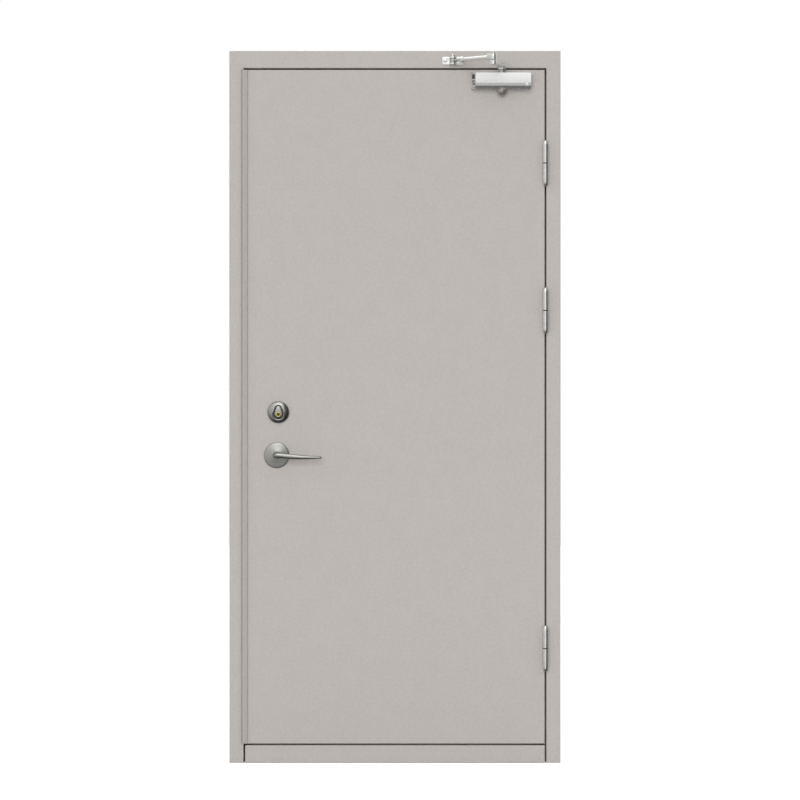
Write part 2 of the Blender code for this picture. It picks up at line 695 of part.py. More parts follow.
def lever_mesh(outward, sides=24):
    """Lever about its spindle, swept along its path; outward is -1 at the front and +1 at the back."""
    run = LEVER_REACH - LEVER_BEND
    rings = []
    for x, out, heading in lever_path():
        along = max(0.0, (x - LEVER_BEND) / run)
        from_tip = (LEVER_REACH - x) / (TIP_HALF_HEIGHT * TIP_ROUNDING)
        cap = sqrt(max(0.02, 1 - (1 - from_tip) ** 2)) if from_tip < 1 else 1.0
        blend = 1 - heading / (pi / 2)
        up = NECK_RADIUS + (GRIP_HALF_HEIGHT - NECK_RADIUS) * blend
        up += (TIP_HALF_HEIGHT - GRIP_HALF_HEIGHT) * along ** GRIP_TAPER_POWER
        thick = NECK_RADIUS + (GRIP_HALF_DEPTH - NECK_RADIUS) * min(1.0, blend * 0.6 + along * 1.6)
        drop = LEVER_DROP * (1 - (1 - along) ** LEVER_DROP_POWER)
        side = Vector((sin(heading), -cos(heading)))
        ring = []
        for j in range(sides):
            angle = 2 * pi * j / sides
            across = thick * cap * cos(angle)
            depth = outward * (out + side.y * across)
            ring.append((x + side.x * across, depth, up * cap * sin(angle) - drop))
        rings.append(ring)
    return loft_mesh(rings)


def add_lever_set(pan, back, core, leaf_pivot):
    centre = (LEVER_X, 0, LEVER_Z)
    bore = facing_front(turned_mesh(
        [(0, -0.1), (SPINDLE_BORE_RADIUS, -0.1), (SPINDLE_BORE_RADIUS, 0.1), (0, 0.1)], 20,
    ))
    cutter = add_object("spindle_bore", bore, CORE, centre, leaf_pivot)
    for item in (pan, back, core):
        cut(item, cutter)
    lever_pivot = add_pivot("lever_pivot", (LEVER_X, LEAF_MID_Y, LEVER_Z))
    for name, facing, face_y, outward in (
        ("front", facing_front, FRONT_Y - TOUCH, -1),
        ("back", facing_back, LEAF_BACK_Y + TOUCH, 1),
    ):
        profile = rose_profile(ROSE_RADIUS, ROSE_THICKNESS, NECK_RADIUS + SLIDE)
        bm = facing(turned_mesh(profile, ROUND_SIDES))
        bmesh.ops.translate(bm, vec=(0, face_y, 0), verts=bm.verts)
        add_object(f"lever_rose_{name}", bm, SATIN, centre, leaf_pivot, smooth=True)
        handle = lever_mesh(outward)
        bmesh.ops.translate(handle, vec=(0, face_y, 0), verts=handle.verts)
        lever = add_object(f"lever_{name}", handle, SATIN, centre, lever_pivot, smooth=True)
        half = SPINDLE_SIDE / 2 + TOUCH
        ends = sorted((face_y, face_y + outward * (SPINDLE_IN_LEVER + 0.002)))
        socket = box_mesh((-half, ends[0], -half), (half, ends[1], half))
        cut(lever, add_object(f"lever_socket_{name}", socket, SATIN, centre, lever_pivot))
    half = SPINDLE_SIDE / 2
    front = FRONT_Y - TOUCH - SPINDLE_IN_LEVER
    back = LEAF_BACK_Y + TOUCH + SPINDLE_IN_LEVER
    spindle = box_mesh((-half, front, -half), (half, back, half))
    add_object("lever_spindle", spindle, ZINC, centre, lever_pivot)


def rounded_rectangle(half_width, half_height, radius, steps=3):
    corners = ((1, 1, 0.0), (-1, 1, pi / 2), (-1, -1, pi), (1, -1, pi * 1.5))
    outline = []
    for right, up, start in corners:
        centre = (right * (half_width - radius), up * (half_height - radius))
        outline += arc(centre, radius, start, start + pi / 2, steps)
    return outline


def edge_plate_mesh(start, end, margin=0.0):
    """Faceplate let into the leaf's edge: an upright outline across the leaf, pushed along X."""
    outline = rounded_rectangle(
        FACEPLATE_WIDTH / 2 + margin, FACEPLATE_HEIGHT / 2 + margin, FACEPLATE_CORNER + margin,
    )
    return loft_mesh([[(x, y, z) for y, z in outline] for x in (start, end)])


def add_edge_bolts(pan, core, pivot):
    """Faceplates let into the lock edge, and the latch and the deadbolt drawn back behind them."""
    for name, bolt_name, z, width, height, nose in (
        ("latch_faceplate", "latch_bolt", LEVER_Z, LATCH_WIDTH, LATCH_HEIGHT, LATCH_NOSE),
        ("deadbolt_faceplate", "deadbolt", BOLT_Z, DEADBOLT_WIDTH, DEADBOLT_HEIGHT, 0.0),
    ):
        place = (LEAF_LEFT, LEAF_MID_Y, z)
        pocket = edge_plate_mesh(-CUT_OVER, FACEPLATE_THICKNESS + TOUCH, TOUCH)
        pocket_item = add_object(name + "_pocket", pocket, CORE, place, pivot)
        cut(pan, pocket_item)
        cut(core, pocket_item)
        half_w = width / 2
        half_h = height / 2
        channel = box_mesh(
            (-CUT_OVER, -half_w - TOUCH, -half_h - TOUCH),
            (BOLT_LENGTH + TOUCH, half_w + TOUCH, half_h + TOUCH),
        )
        channel_item = add_object(bolt_name + "_channel", channel, CORE, place, pivot)
        cut(core, channel_item)
        plate = add_object(name, edge_plate_mesh(0, FACEPLATE_THICKNESS), ZINC, place, pivot)
        cut(plate, channel_item)
        outline = [(TOUCH, half_w), (TOUCH + nose, -half_w), (BOLT_LENGTH, -half_w), (BOLT_LENGTH, half_w)]
        rings = [[(x, y, level) for x, y in outline] for level in (-half_h, half_h)]
        add_object(bolt_name, loft_mesh(rings), ZINC, place, pivot)


def closer_section(depth, shrink=0.0):
    """End view of the closer as (y, z) points: flat back, rounded top edge, two sloping bands below."""
    front = FRONT_Y - depth
    back = FRONT_Y - TOUCH
    bottom = CLOSER_BOTTOM + shrink
    bands = (CLOSER_UPPER_BAND, CLOSER_MIDDLE_BAND, CLOSER_LOWER_BAND)
    corners = [Vector((back, CLOSER_TOP - shrink)), Vector((front, CLOSER_TOP - shrink))]
    share = depth / CLOSER_DEPTH
    corners += [Vector((front + set_back * share, bottom + rise)) for rise, set_back in bands]
    corners.append(Vector((back, bottom)))
    path = [corners[0]]
    for i in range(1, len(corners) - 1):
        radius = CLOSER_EDGE if i == 1 else CLOSER_UNDER_EDGE
        path += corner_arc(corners[i - 1], corners[i], corners[i + 1], radius, 4)
    path.append(corners[-1])
    return [(point.x, point.y) for point in path]


def soften_edges(item, width, angle=50):
    modifier = item.modifiers.new("softened_edges", "BEVEL")
    modifier.width = width
    modifier.segments = 2
    modifier.limit_method = "ANGLE"
    modifier.angle_limit = radians(angle)


def add_closer_body(pivot):
    """Main housing with a low collar round the pinion."""
    place = (PINION_X, PINION_Y, 0)
    seam = CLOSER_LEFT + END_CAP_LENGTH
    section = closer_section(CLOSER_DEPTH)
    housing = loft_mesh([[(x, y, z) for y, z in section] for x in (seam + TOUCH, CLOSER_RIGHT)])
    body = add_object("closer_body", housing, SILVER, (0, 0, 0), pivot, smooth=True)
    soften_edges(body, CLOSER_CHAMFER)
    collar_top = CLOSER_TOP + PINION_COLLAR_HEIGHT
    collar = cylinder_mesh(PINION_COLLAR_RADIUS, CLOSER_TOP - 0.002, collar_top, ROUND_SIDES)
    fuse(body, add_object("pinion_collar", collar, SILVER, place, pivot))
    bore = cylinder_mesh(
        PINION_RADIUS + SLIDE, CLOSER_TOP - PINION_DEPTH_IN_BODY - TOUCH, CLOSER_TOP + CUT_OVER,
    )
    cut(body, add_object("pinion_bore", bore, SILVER, place, pivot))


def add_closer_end_cap(pivot):
    """Cap whose end slopes back, with a valve socket above a round screw recess in the slope."""
    seam = CLOSER_LEFT + END_CAP_LENGTH
    rings = [
        [(x, y, z) for y, z in closer_section(depth, shrink)]
        for x, depth, shrink in ((CLOSER_LEFT, END_CAP_DEPTH, 0.0015), (seam, CLOSER_DEPTH, 0.0))
    ]
    cap = add_object("closer_end_cap", loft_mesh(rings), SILVER, (0, 0, 0), pivot, smooth=True)
    soften_edges(cap, CLOSER_CHAMFER)
    slope = atan2(CLOSER_DEPTH - END_CAP_DEPTH, END_CAP_LENGTH)
    middle = (CLOSER_LEFT + END_CAP_LENGTH / 2, FRONT_Y - (CLOSER_DEPTH + END_CAP_DEPTH) / 2, 0)
    lean = Matrix.Rotation(-slope, 4, "Z")
    half_w = VALVE_SOCKET_WIDTH / 2
    half_h = VALVE_SOCKET_HEIGHT / 2
    socket = turned(box_mesh((-half_w, -CUT_OVER, -half_h), (half_w, VALVE_DEPTH, half_h)), lean)
    recess = cylinder_mesh(VALVE_RECESS_RADIUS, -VALVE_DEPTH, CUT_OVER, BORE_SIDES)
    recess = turned(facing_front(recess), lean)
    for name, bm, z in (
        ("valve_socket", socket, CLOSER_TOP - CLOSER_HEIGHT * VALVE_SOCKET_DROP),
        ("valve_recess", recess, CLOSER_TOP - CLOSER_HEIGHT * VALVE_RECESS_DROP),
    ):
        cut(cap, add_object(name, bm, SILVER, (middle[0], middle[1], z), pivot))


def add_closer(pivot):
    add_closer_body(pivot)
    add_closer_end_cap(pivot)
    drop = PINION_CAP_DROP
    r = PINION_CAP_RADIUS
    top = CLOSER_BOTTOM - TOUCH
    profile = [(0, top), (0, top - drop)]
    for k in range(1, 7):
        turn = pi / 2 * k / 6
        profile.append((r * sin(turn), top - drop * 0.25 - drop * 0.75 * cos(turn)))
    profile.append((r, top))
    cap = turned_mesh(profile, BORE_SIDES)
    add_object("closer_pinion_cap", cap, GREY_CAP, (PINION_X, PINION_Y, 0), pivot, smooth=True)


def plank_outline(start, end, start_radius, end_radius, steps=8):
    """Outline of a tapered bar with round ends, seen from above."""
    start = Vector(start)
    end = Vector(end)
    along = end - start
    heading = atan2(along.y, along.x)
    lean = atan2(start_radius - end_radius, along.length)
    near = arc(start, start_radius, heading + pi / 2 - lean, heading + 3 * pi / 2 + lean, steps)
    far = arc(end, end_radius, heading - pi / 2 + lean, heading + pi / 2 - lean, steps)
    return near + far


def slab_mesh(outline, bottom, top):
    return loft_mesh([[(x, y, z) for x, y in outline] for z in (bottom, top)])


def cylinder_mesh(radius, bottom, top, sides=BORE_SIDES, chamfer=0.0):
    if chamfer > 0:
        profile = [
            (0, bottom), (radius - chamfer, bottom), (radius, bottom + chamfer),
            (radius, top - chamfer), (radius - chamfer, top), (0, top),
        ]
    else:
        profile = [(0, bottom), (radius, bottom), (radius, top), (0, top)]
    return turned_mesh(profile, sides)


def add_main_arm():
    """Flat arm keyed on the pinion's square; both turn together in the closer body."""
    pivot = add_pivot("main_arm_pivot", (PINION_X, PINION_Y, 0))
    place = (PINION_X, PINION_Y, 0)
    elbow = (ELBOW_X - PINION_X, ELBOW_Y - PINION_Y)
    outline = plank_outline((0, 0), elbow, ARM_HALF_WIDTH, ARM_HALF_WIDTH_AT_ELBOW)
    arm = add_object("main_arm", slab_mesh(outline, ARM_UNDER_Z, ARM_TOP_Z), SILVER, place, pivot)
    boss = cylinder_mesh(ARM_BOSS_RADIUS, ARM_BOSS_Z, ARM_TOP_Z + 0.0015, ROUND_SIDES, 0.0012)
    fuse(arm, add_object("main_arm_boss", boss, SILVER, place, pivot))
    knuckle = cylinder_mesh(ARM_KNUCKLE_RADIUS, ARM_UNDER_Z, KNUCKLE_TOP_Z, BORE_SIDES, 0.0010)
    bmesh.ops.translate(knuckle, vec=(elbow[0], elbow[1], 0), verts=knuckle.verts)
    fuse(arm, add_object("main_arm_knuckle", knuckle, SILVER, place, pivot))
    half = PINION_SQUARE / 2 + TOUCH
    socket = box_mesh((-half, -half, ARM_BOSS_Z - CUT_OVER), (half, half, ARM_TOP_Z + CUT_OVER))
    cut(arm, add_object("main_arm_socket", socket, SILVER, place, pivot))

    foot = CLOSER_TOP - PINION_DEPTH_IN_BODY
    shaft = cylinder_mesh(PINION_RADIUS, foot, ARM_BOSS_Z - TOUCH, BORE_SIDES, 0.0006)
    pinion = add_object("closer_pinion", shaft, ZINC, place, pivot, smooth=True)
    half = PINION_SQUARE / 2
    square = box_mesh((-half, -half, ARM_BOSS_Z - 0.004), (half, half, ARM_TOP_Z + 0.003))
    fuse(pinion, add_object("closer_pinion_square", square, ZINC, place, pivot))


def along_forearm(distance):
    """Point on the forearm's centre line, measured from the shoe pivot."""
    return Vector((ELBOW_X - SHOE_X, ELBOW_Y - SHOE_Y)).normalized() * distance


def lay_along_forearm(bm, start):
    """Lay a piece turned round Z along the forearm, with its foot at a distance from the shoe pivot."""
    heading = atan2(ELBOW_Y - SHOE_Y, ELBOW_X - SHOE_X)
    tilt = Matrix.Rotation(heading, 4, "Z") @ Matrix.Rotation(pi / 2, 4, "Y")
    foot = along_forearm(start)
    turned(bm, Matrix.Translation((foot.x, foot.y, FOREARM_Z)) @ tilt)
    return bm


def add_forearm():
    """Forearm in two sliding lengths: a rod from the shoe and a tube from the elbow, clamped together."""
    pivot = add_pivot("forearm_pivot", (SHOE_X, SHOE_Y, 0))
    place = (SHOE_X, SHOE_Y, 0)
    length = hypot(ELBOW_X - SHOE_X, ELBOW_Y - SHOE_Y)

    # Rod with its eye round the shoe pin
    half = EYE_HEIGHT / 2
    eye = cylinder_mesh(EYE_RADIUS, FOREARM_Z - half, FOREARM_Z + half, BORE_SIDES, 0.0008)
    rod = add_object("forearm_rod", eye, SILVER, place, pivot, smooth=True)
    bar = lay_along_forearm(cylinder_mesh(ROD_RADIUS, 0, ROD_END - 0.006, 20), 0.006)
    fuse(rod, add_object("forearm_rod_bar", bar, SILVER, place, pivot))
    bore = cylinder_mesh(SHOE_PIN_RADIUS + TOUCH, FOREARM_Z - EYE_HEIGHT, FOREARM_Z + EYE_HEIGHT, 20)
    cut(rod, add_object("forearm_eye_bore", bore, SILVER, place, pivot))

    # Tube with the elbow block
    tube_end = length - 0.004
    bore_end = ROD_END - TUBE_START + 0.002
    profile = [
        (ROD_RADIUS + TOUCH, 0), (TUBE_RADIUS, 0), (TUBE_RADIUS, tube_end - TUBE_START),
        (0, tube_end - TUBE_START), (0, bore_end), (ROD_RADIUS + TOUCH, bore_end),
    ]
    tube = add_object(
        "forearm_tube", lay_along_forearm(turned_mesh(profile, BORE_SIDES), TUBE_START), SILVER, place, pivot,
        smooth=True,
    )
    block_outline = plank_outline(
        along_forearm(length - FOREARM_BLOCK_LENGTH), along_forearm(length),
        FOREARM_BLOCK_HALF_WIDTH, ARM_KNUCKLE_RADIUS,
    )
    block = slab_mesh(block_outline, FOREARM_UNDER_Z, FOREARM_TOP_Z)
    fuse(tube, add_object("forearm_block", block, SILVER, place, pivot))

    # Six-sided clamp nut that locks the rod in the tube
    nut_start = TUBE_START - CLAMP_LENGTH - TOUCH
    nut = lay_along_forearm(cylinder_mesh(CLAMP_RADIUS, 0, CLAMP_LENGTH, 6, CLAMP_CHAMFER), nut_start)
    clamp = add_object("forearm_clamp", nut, ZINC, place, pivot)
    bore = lay_along_forearm(cylinder_mesh(ROD_RADIUS + TOUCH, -0.01, CLAMP_LENGTH + 0.01, 20), nut_start)
    cut(clamp, add_object("clamp_bore", bore, ZINC, place, pivot))

    # Screw head on top of the elbow block
    end = along_forearm(length)
    seat = FOREARM_TOP_Z + TOUCH
    screw = cylinder_mesh(ELBOW_SCREW_RADIUS, seat, seat + ELBOW_SCREW_HEIGHT, BORE_SIDES, 0.0010)
    bmesh.ops.translate(screw, vec=(end.x, end.y, 0), verts=screw.verts)
    add_object("elbow_screw", screw, ZINC, place, pivot, smooth=True)


def add_shoe():
    """Bracket on the face of the head: a plate and two lugs that carry the forearm's eye on a pin."""
    place = (SHOE_X, SHOE_Y, 0)
    low_z = FOREARM_Z - EYE_HEIGHT / 2 - TOUCH - SHOE_LUG_THICKNESS
    high_z = FOREARM_Z + EYE_HEIGHT / 2 + TOUCH + SHOE_LUG_THICKNESS
    back = SHOE_STAND_OFF - TOUCH
    half = SHOE_PLATE_LENGTH / 2
    plate = box_mesh((-half, back - SHOE_PLATE_THICKNESS, low_z), (half, back, high_z))
    edges = [edge for edge in plate.edges if abs(edge.verts[0].co.y - edge.verts[1].co.y) > 0.001]
    bmesh.ops.bevel(plate, geom=edges, offset=SHOE_PLATE_CORNER, segments=3, affect="EDGES", profile=0.5)
    shoe = add_object("closer_shoe", plate, SILVER, place)
    lug_outline = arc((0, 0), SHOE_LUG_RADIUS, pi, 2 * pi, 10)
    lug_outline += [(SHOE_LUG_RADIUS, back - 0.001), (-SHOE_LUG_RADIUS, back - 0.001)]
    for name, bottom in (("lower", low_z), ("upper", high_z - SHOE_LUG_THICKNESS)):
        lug = slab_mesh(lug_outline, bottom, bottom + SHOE_LUG_THICKNESS)
        fuse(shoe, add_object(f"shoe_lug_{name}", lug, SILVER, place))
    bore = cylinder_mesh(SHOE_PIN_RADIUS + TOUCH, low_z - CUT_OVER, high_z + CUT_OVER, 20)
    cut(shoe, add_object("shoe_bore", bore, SILVER, place))
    pin = cylinder_mesh(SHOE_PIN_RADIUS, low_z, high_z + TOUCH + 0.001, 20)
    screw = add_object("shoe_pivot_screw", pin, ZINC, place, smooth=True)
    head = cylinder_mesh(SHOE_SCREW_RADIUS, high_z + TOUCH, high_z + TOUCH + SHOE_SCREW_HEIGHT, 20, 0.0008)
    fuse(screw, add_object("shoe_screw_head", head, ZINC, place))


def main():
    clear_scene()
    leaf_pivot = add_pivot("leaf_pivot", (PIN_X, PIN_Y, 0))
    hinge_jamb = add_frame()
    add_seals()
    pan, back, core = add_leaf(leaf_pivot)
    add_lip(leaf_pivot)
    add_hinges(hinge_jamb, pan, core, leaf_pivot)
    add_lever_set(pan, back, core, leaf_pivot)
    add_deadbolt(pan, back, core, leaf_pivot)
    add_edge_bolts(pan, core, leaf_pivot)
    add_closer(leaf_pivot)
    add_main_arm()
    add_forearm()
    add_shoe()


main()
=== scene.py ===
"""Steel fire door, dressed: painted frame and leaf, hinges, lever set, deadbolt and door closer."""

from math import atan2, cos, pi, radians, sin, sqrt

import bmesh
import bpy
from bpy.props import FloatProperty, PointerProperty, StringProperty
from bpy.types import Operator, Panel, PropertyGroup
from mathutils import Matrix, Vector


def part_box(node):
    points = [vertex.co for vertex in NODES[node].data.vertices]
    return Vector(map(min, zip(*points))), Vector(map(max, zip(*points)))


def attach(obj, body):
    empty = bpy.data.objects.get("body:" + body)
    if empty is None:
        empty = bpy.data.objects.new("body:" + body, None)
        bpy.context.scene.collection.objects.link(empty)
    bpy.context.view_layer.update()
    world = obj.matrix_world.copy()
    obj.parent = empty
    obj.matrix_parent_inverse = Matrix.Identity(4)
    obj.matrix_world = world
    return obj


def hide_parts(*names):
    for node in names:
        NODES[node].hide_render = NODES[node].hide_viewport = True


bl_info = {
    "name": "Steel fire door",
    "version": (1, 0, 0),
    "blender": (4, 5, 0),
    "location": "3D View > Sidebar > Fire door",
    "description": "Builds the visible pieces of a single-leaf steel fire door with its hardware",
    "category": "Add Mesh",
}

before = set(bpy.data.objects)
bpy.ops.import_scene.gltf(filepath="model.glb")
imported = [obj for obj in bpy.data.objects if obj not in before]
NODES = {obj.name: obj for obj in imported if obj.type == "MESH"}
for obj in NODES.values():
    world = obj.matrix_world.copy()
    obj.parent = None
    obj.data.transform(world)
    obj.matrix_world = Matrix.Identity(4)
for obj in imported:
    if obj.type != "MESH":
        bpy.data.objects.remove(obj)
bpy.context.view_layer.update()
BACK = Vector((0, 1, 0))
UP = Vector((0, 0, 1))


def middle(node):
    low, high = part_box(node)
    return (low + high) / 2


def foot(node):
    """Middle of a node, brought down to height 0."""
    place = middle(node)
    place.z = 0
    return place


# Places read from the solids
LEAF_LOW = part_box("leaf_front_pan")[0]
LEAF_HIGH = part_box("leaf_back_pan")[1]
LEVER = middle("lever_rose_front")
BOLT = middle("deadbolt_collar")
CYLINDER_LOW, CYLINDER_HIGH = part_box("deadbolt_cylinder")
PLUG = middle("cylinder_plug")
PINION = foot("closer_pinion")
ELBOW = foot("elbow_screw")
SHOE_PIN = foot("shoe_pivot_screw")
CLOSER_LOW, CLOSER_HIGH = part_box("closer_body")
CAP_LOW, CAP_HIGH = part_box("closer_end_cap")
# Underside of the main arm's bar, underside of the forearm, and the middle line of the forearm's rod
ARM_UNDER = LEAF_HIGH.z + 0.0054
FOREARM_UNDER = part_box("forearm_tube")[0].z
FOREARM_LINE = FOREARM_UNDER + 0.0078
# Places within NEAR count as one, a cutting tool stands PAST out of what it cuts, and screws are SUNK
NEAR = 0.0001
PAST = 0.001
SUNK = 0.0002


# Sizes and colours that a user would change

class FireDoorColours(PropertyGroup):
    paint: StringProperty(name="Paint", description="Powder coat of frame and leaf", default="#BDB8B4")
    # The lip's coat is the leaf's powder coat made darker: painted shade of the lip
    lip: StringProperty(name="Lip", description="Powder coat of the lip, a shade darker", default="#AFABA7")
    satin: StringProperty(name="Satin steel", description="Lever, roses and collars", default="#A2A29E")
    nickel: StringProperty(name="Nickel", description="Plating of the hinges", default="#DADAD6")
    silver: StringProperty(name="Silver", description="Paint of the closer", default="#E9EAE8")
    cap: StringProperty(name="Pinion cap", description="Moulded cap under the closer", default="#A8A19A")
    brass: StringProperty(name="Brass", description="Plug of the cylinder", default="#C6BC82")
    seal: StringProperty(name="Seal", description="Fire seal strips in the rebate", default="#1B1B1B")


class FireDoorSizes(PropertyGroup):
    edge: FloatProperty(
        name="Edge softening", description="Width of the small bevels on plates and washers",
        default=0.0003, min=0.0001, max=0.002, subtype="DISTANCE", unit="LENGTH",
    )
    grip_height: FloatProperty(
        name="Grip height", description="Half the height of the lever at its bend",
        default=0.0088, min=0.005, max=0.010, subtype="DISTANCE", unit="LENGTH",
    )
    tip_height: FloatProperty(
        name="Tip height", description="Half the height of the lever at its tip",
        default=0.0037, min=0.002, max=0.006, subtype="DISTANCE", unit="LENGTH",
    )
    plate_screw: FloatProperty(
        name="Hinge screw head", description="Radius of the countersunk heads in the hinge plates",
        default=0.0042, min=0.002, max=0.005, subtype="DISTANCE", unit="LENGTH",
    )
    view_distance: FloatProperty(
        name="View distance", description="Distance of the camera from the front of the door",
        default=20.0, min=5.0, max=60.0, subtype="DISTANCE", unit="LENGTH",
    )


def sizes():
    return bpy.context.scene.fire_door_sizes


def colours():
    return bpy.context.scene.fire_door_colours


# Modelling, as by hand

def lone(piece):
    """Select one piece alone and make it active."""
    bpy.ops.object.select_all(action="DESELECT")
    piece.select_set(True)
    bpy.context.view_layer.objects.active = piece


def primitive(kind, name, **settings):
    """Add a primitive at its size and place, and put that place in its mesh."""
    bpy.ops.object.select_all(action="DESELECT")
    scale = settings.pop("stretch", None)
    getattr(bpy.ops.mesh, f"primitive_{kind}_add")(**settings)
    piece = bpy.context.object
    piece.name = piece.data.name = name
    if scale:
        piece.scale = scale
    bpy.ops.object.transform_apply(location=True, rotation=True, scale=True)
    return piece


def block(name, low, high):
    """Box between two corners, as a start for other tools."""
    low, high = Vector(low), Vector(high)
    return primitive("cube", name, size=1.0, location=(low + high) / 2, stretch=high - low)


def tilt_to(axis):
    """Rotation that turns +Z to an axis."""
    return Vector(axis).to_track_quat("Z", "Y").to_euler()


def rod(name, foot, axis, length, radius, sides=48):
    """Cylinder from its foot along an axis, as a start for other tools."""
    axis = Vector(axis).normalized()
    return primitive(
        "cylinder", name, vertices=sides, radius=radius, depth=length,
        location=Vector(foot) + axis * (length / 2), rotation=tilt_to(axis),
    )


def edit(piece, mode="FACE", select="SELECT"):
    """Open a piece in edit mode with all of it selected, or nothing."""
    lone(piece)
    bpy.ops.object.mode_set(mode="EDIT")
    bpy.ops.mesh.select_mode(type=mode)
    bpy.ops.mesh.select_all(action=select)


def leave():
    bpy.ops.object.mode_set(mode="OBJECT")


def face_out():
    """Turn all faces outwards and leave edit mode."""
    bpy.ops.mesh.select_all(action="SELECT")
    bpy.ops.mesh.normals_make_consistent(inside=False)
    leave()


def bevel_edges(piece, test, width, segments=4):
    """Round the edges whose two ends pass the test."""
    edit(piece, "EDGE", "DESELECT")
    for edge in bmesh.from_edit_mesh(piece.data).edges:
        edge.select_set(bool(test(*(vert.co for vert in edge.verts))))
    bmesh.update_edit_mesh(piece.data)
    bpy.ops.mesh.bevel(offset=width, segments=segments, affect="EDGES", clamp_overlap=True)
    leave()


def modify(piece, kind, **settings):
    """Add a modifier with its settings and apply it."""
    lone(piece)
    modifier = piece.modifiers.new(kind.lower(), kind)
    for name, value in settings.items():
        setattr(modifier, name, value)
    bpy.ops.object.modifier_apply(modifier=modifier.name)
    return piece


def boolean(piece, tool, operation="DIFFERENCE"):
    """Cut a tool out of a piece, or join it on, and remove the tool."""
    modify(piece, "BOOLEAN", object=tool, operation=operation, solver="EXACT")
    bpy.data.objects.remove(tool, do_unlink=True)
    return piece


def bore(piece, start, axis, length, radius, sides=40):
    """Drill a piece; six sides make the socket of a screw."""
    return boolean(piece, rod("drill", start, axis, length, radius, sides))


def soften(piece, width=None, segments=2, angle=35):
    """Bevel every edge that is sharper than an angle."""
    return modify(
        piece, "BEVEL", width=width or sizes().edge, segments=segments, limit_method="ANGLE",
        angle_limit=radians(angle), use_clamp_overlap=True,
    )


def turned(name, centre, axis, profile, sides=72):
    """Round piece: a filled circle, extruded and resized through (radius, height) steps along an axis."""
    centre, axis = Vector(centre), Vector(axis).normalized()
    radius, height = profile[0]
    piece = primitive(
        "circle", name, vertices=sides, radius=radius, fill_type="NGON",
        location=centre + axis * height, rotation=tilt_to(axis),
    )
    edit(piece)
    for next_radius, next_height in profile[1:]:
        step = axis * (next_height - height)
        bpy.ops.mesh.extrude_region_move(TRANSFORM_OT_translate={"value": step})
        if next_radius != radius:
            factor = next_radius / radius
            bpy.ops.transform.resize(value=(factor,) * 3, center_override=centre + axis * next_height)
        radius, height = next_radius, next_height
    bpy.ops.mesh.select_all(action="SELECT")
    bpy.ops.mesh.remove_doubles(threshold=0.000005)
    face_out()
    return piece


def plank(name, ends, radii, axis, low, high, sides=48):
    """Bar with round ends: the hull of two circles, pushed from low to high along an axis."""
    axis = Vector(axis).normalized()
    turn = tilt_to(axis)
    piece = primitive("circle", name, vertices=sides, radius=radii[0], location=ends[0], rotation=turn)
    edit(piece, "VERT")
    bpy.ops.mesh.primitive_circle_add(vertices=sides, radius=radii[1], location=ends[1], rotation=turn)
    bpy.ops.mesh.select_all(action="SELECT")
    bpy.ops.transform.translate(value=axis * (low - Vector(ends[0]).dot(axis)))
    bpy.ops.mesh.extrude_region_move(TRANSFORM_OT_translate={"value": axis * (high - low)})
    bpy.ops.mesh.select_all(action="SELECT")
    bpy.ops.mesh.convex_hull()
    bpy.ops.mesh.select_all(action="SELECT")
    bpy.ops.mesh.dissolve_limited(angle_limit=radians(0.5))
    face_out()
    return piece


def copied(piece, name, matrix):
    """Copy of a piece with its own mesh, set in place by a matrix."""
    made = piece.copy()
    made.data = piece.data.copy()
    made.name = made.data.name = name
    bpy.context.scene.collection.objects.link(made)
    made.data.transform(matrix)
    return made


def node_copy(node, name):
    """Merged copy of a solid's mesh, with its flat faces joined up."""
    made = copied(NODES[node], name, Matrix.Identity(4))
    made.parent = None
    for key in [key for key in made.keys() if key.startswith("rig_")]:
        del made[key]
    made.data.materials.clear()
    edit(made)
    bpy.ops.mesh.customdata_custom_splitnormals_clear()
    bpy.ops.mesh.remove_doubles(threshold=0.00001)
    bpy.ops.mesh.dissolve_limited(angle_limit=radians(0.5))
    leave()
    return made


def join(name, *pieces):
    """Make several meshes one piece."""
    bpy.ops.object.select_all(action="DESELECT")
    for piece in pieces:
        piece.select_set(True)
    bpy.context.view_layer.objects.active = pieces[0]
    bpy.ops.object.join()
    pieces[0].name = pieces[0].data.name = name
    return pieces[0]


def dress(piece, body, finish, slot, *nodes, angle=35):
    """Give a piece its finish, shading and body; it stands for the nodes named."""
    lone(piece)
    piece.data.materials.clear()
    piece.data.materials.append(Finishes.get(finish))
    bpy.ops.object.shade_smooth_by_angle(angle=radians(angle))
    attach(piece, body)
    if nodes:
        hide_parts(*nodes)
    return piece


def coat(finish, *names):
    """Give solids that stay their finish."""
    for name in names:
        for holder in NODES[name].material_slots:
            holder.material = Finishes.get(finish)


# Materials

def linear(code):
    """sRGB hex code as linear colour with alpha."""
    parts = [int(code[i:i + 2], 16) / 255 for i in (1, 3, 5)]
    return tuple(p / 12.92 if p <= 0.04045 else ((p + 0.055) / 1.055) ** 2.4 for p in parts) + (1.0,)


def shade(code, factor):
    """Colour of a hex code made lighter or darker."""
    return tuple(min(1.0, value * factor) for value in linear(code)[:3]) + (1.0,)


def add(tree, kind, sockets=None, **settings):
    """Add a node with its settings; a socket takes a value or another node's output."""
    made = tree.nodes.new("ShaderNode" + kind)
    for name, value in settings.items():
        setattr(made, name, value)
    for socket, value in (sockets or {}).items():
        if isinstance(value, bpy.types.NodeSocket):
            tree.links.new(value, made.inputs[socket])
        else:
            made.inputs[socket].default_value = value
    return made


def start_material(name, metallic, roughness):
    material = bpy.data.materials.new(name)
    material.use_nodes = True
    shader = material.node_tree.nodes["Principled BSDF"]
    shader.inputs["Metallic"].default_value = metallic
    shader.inputs["Roughness"].default_value = roughness
    return material, material.node_tree, shader


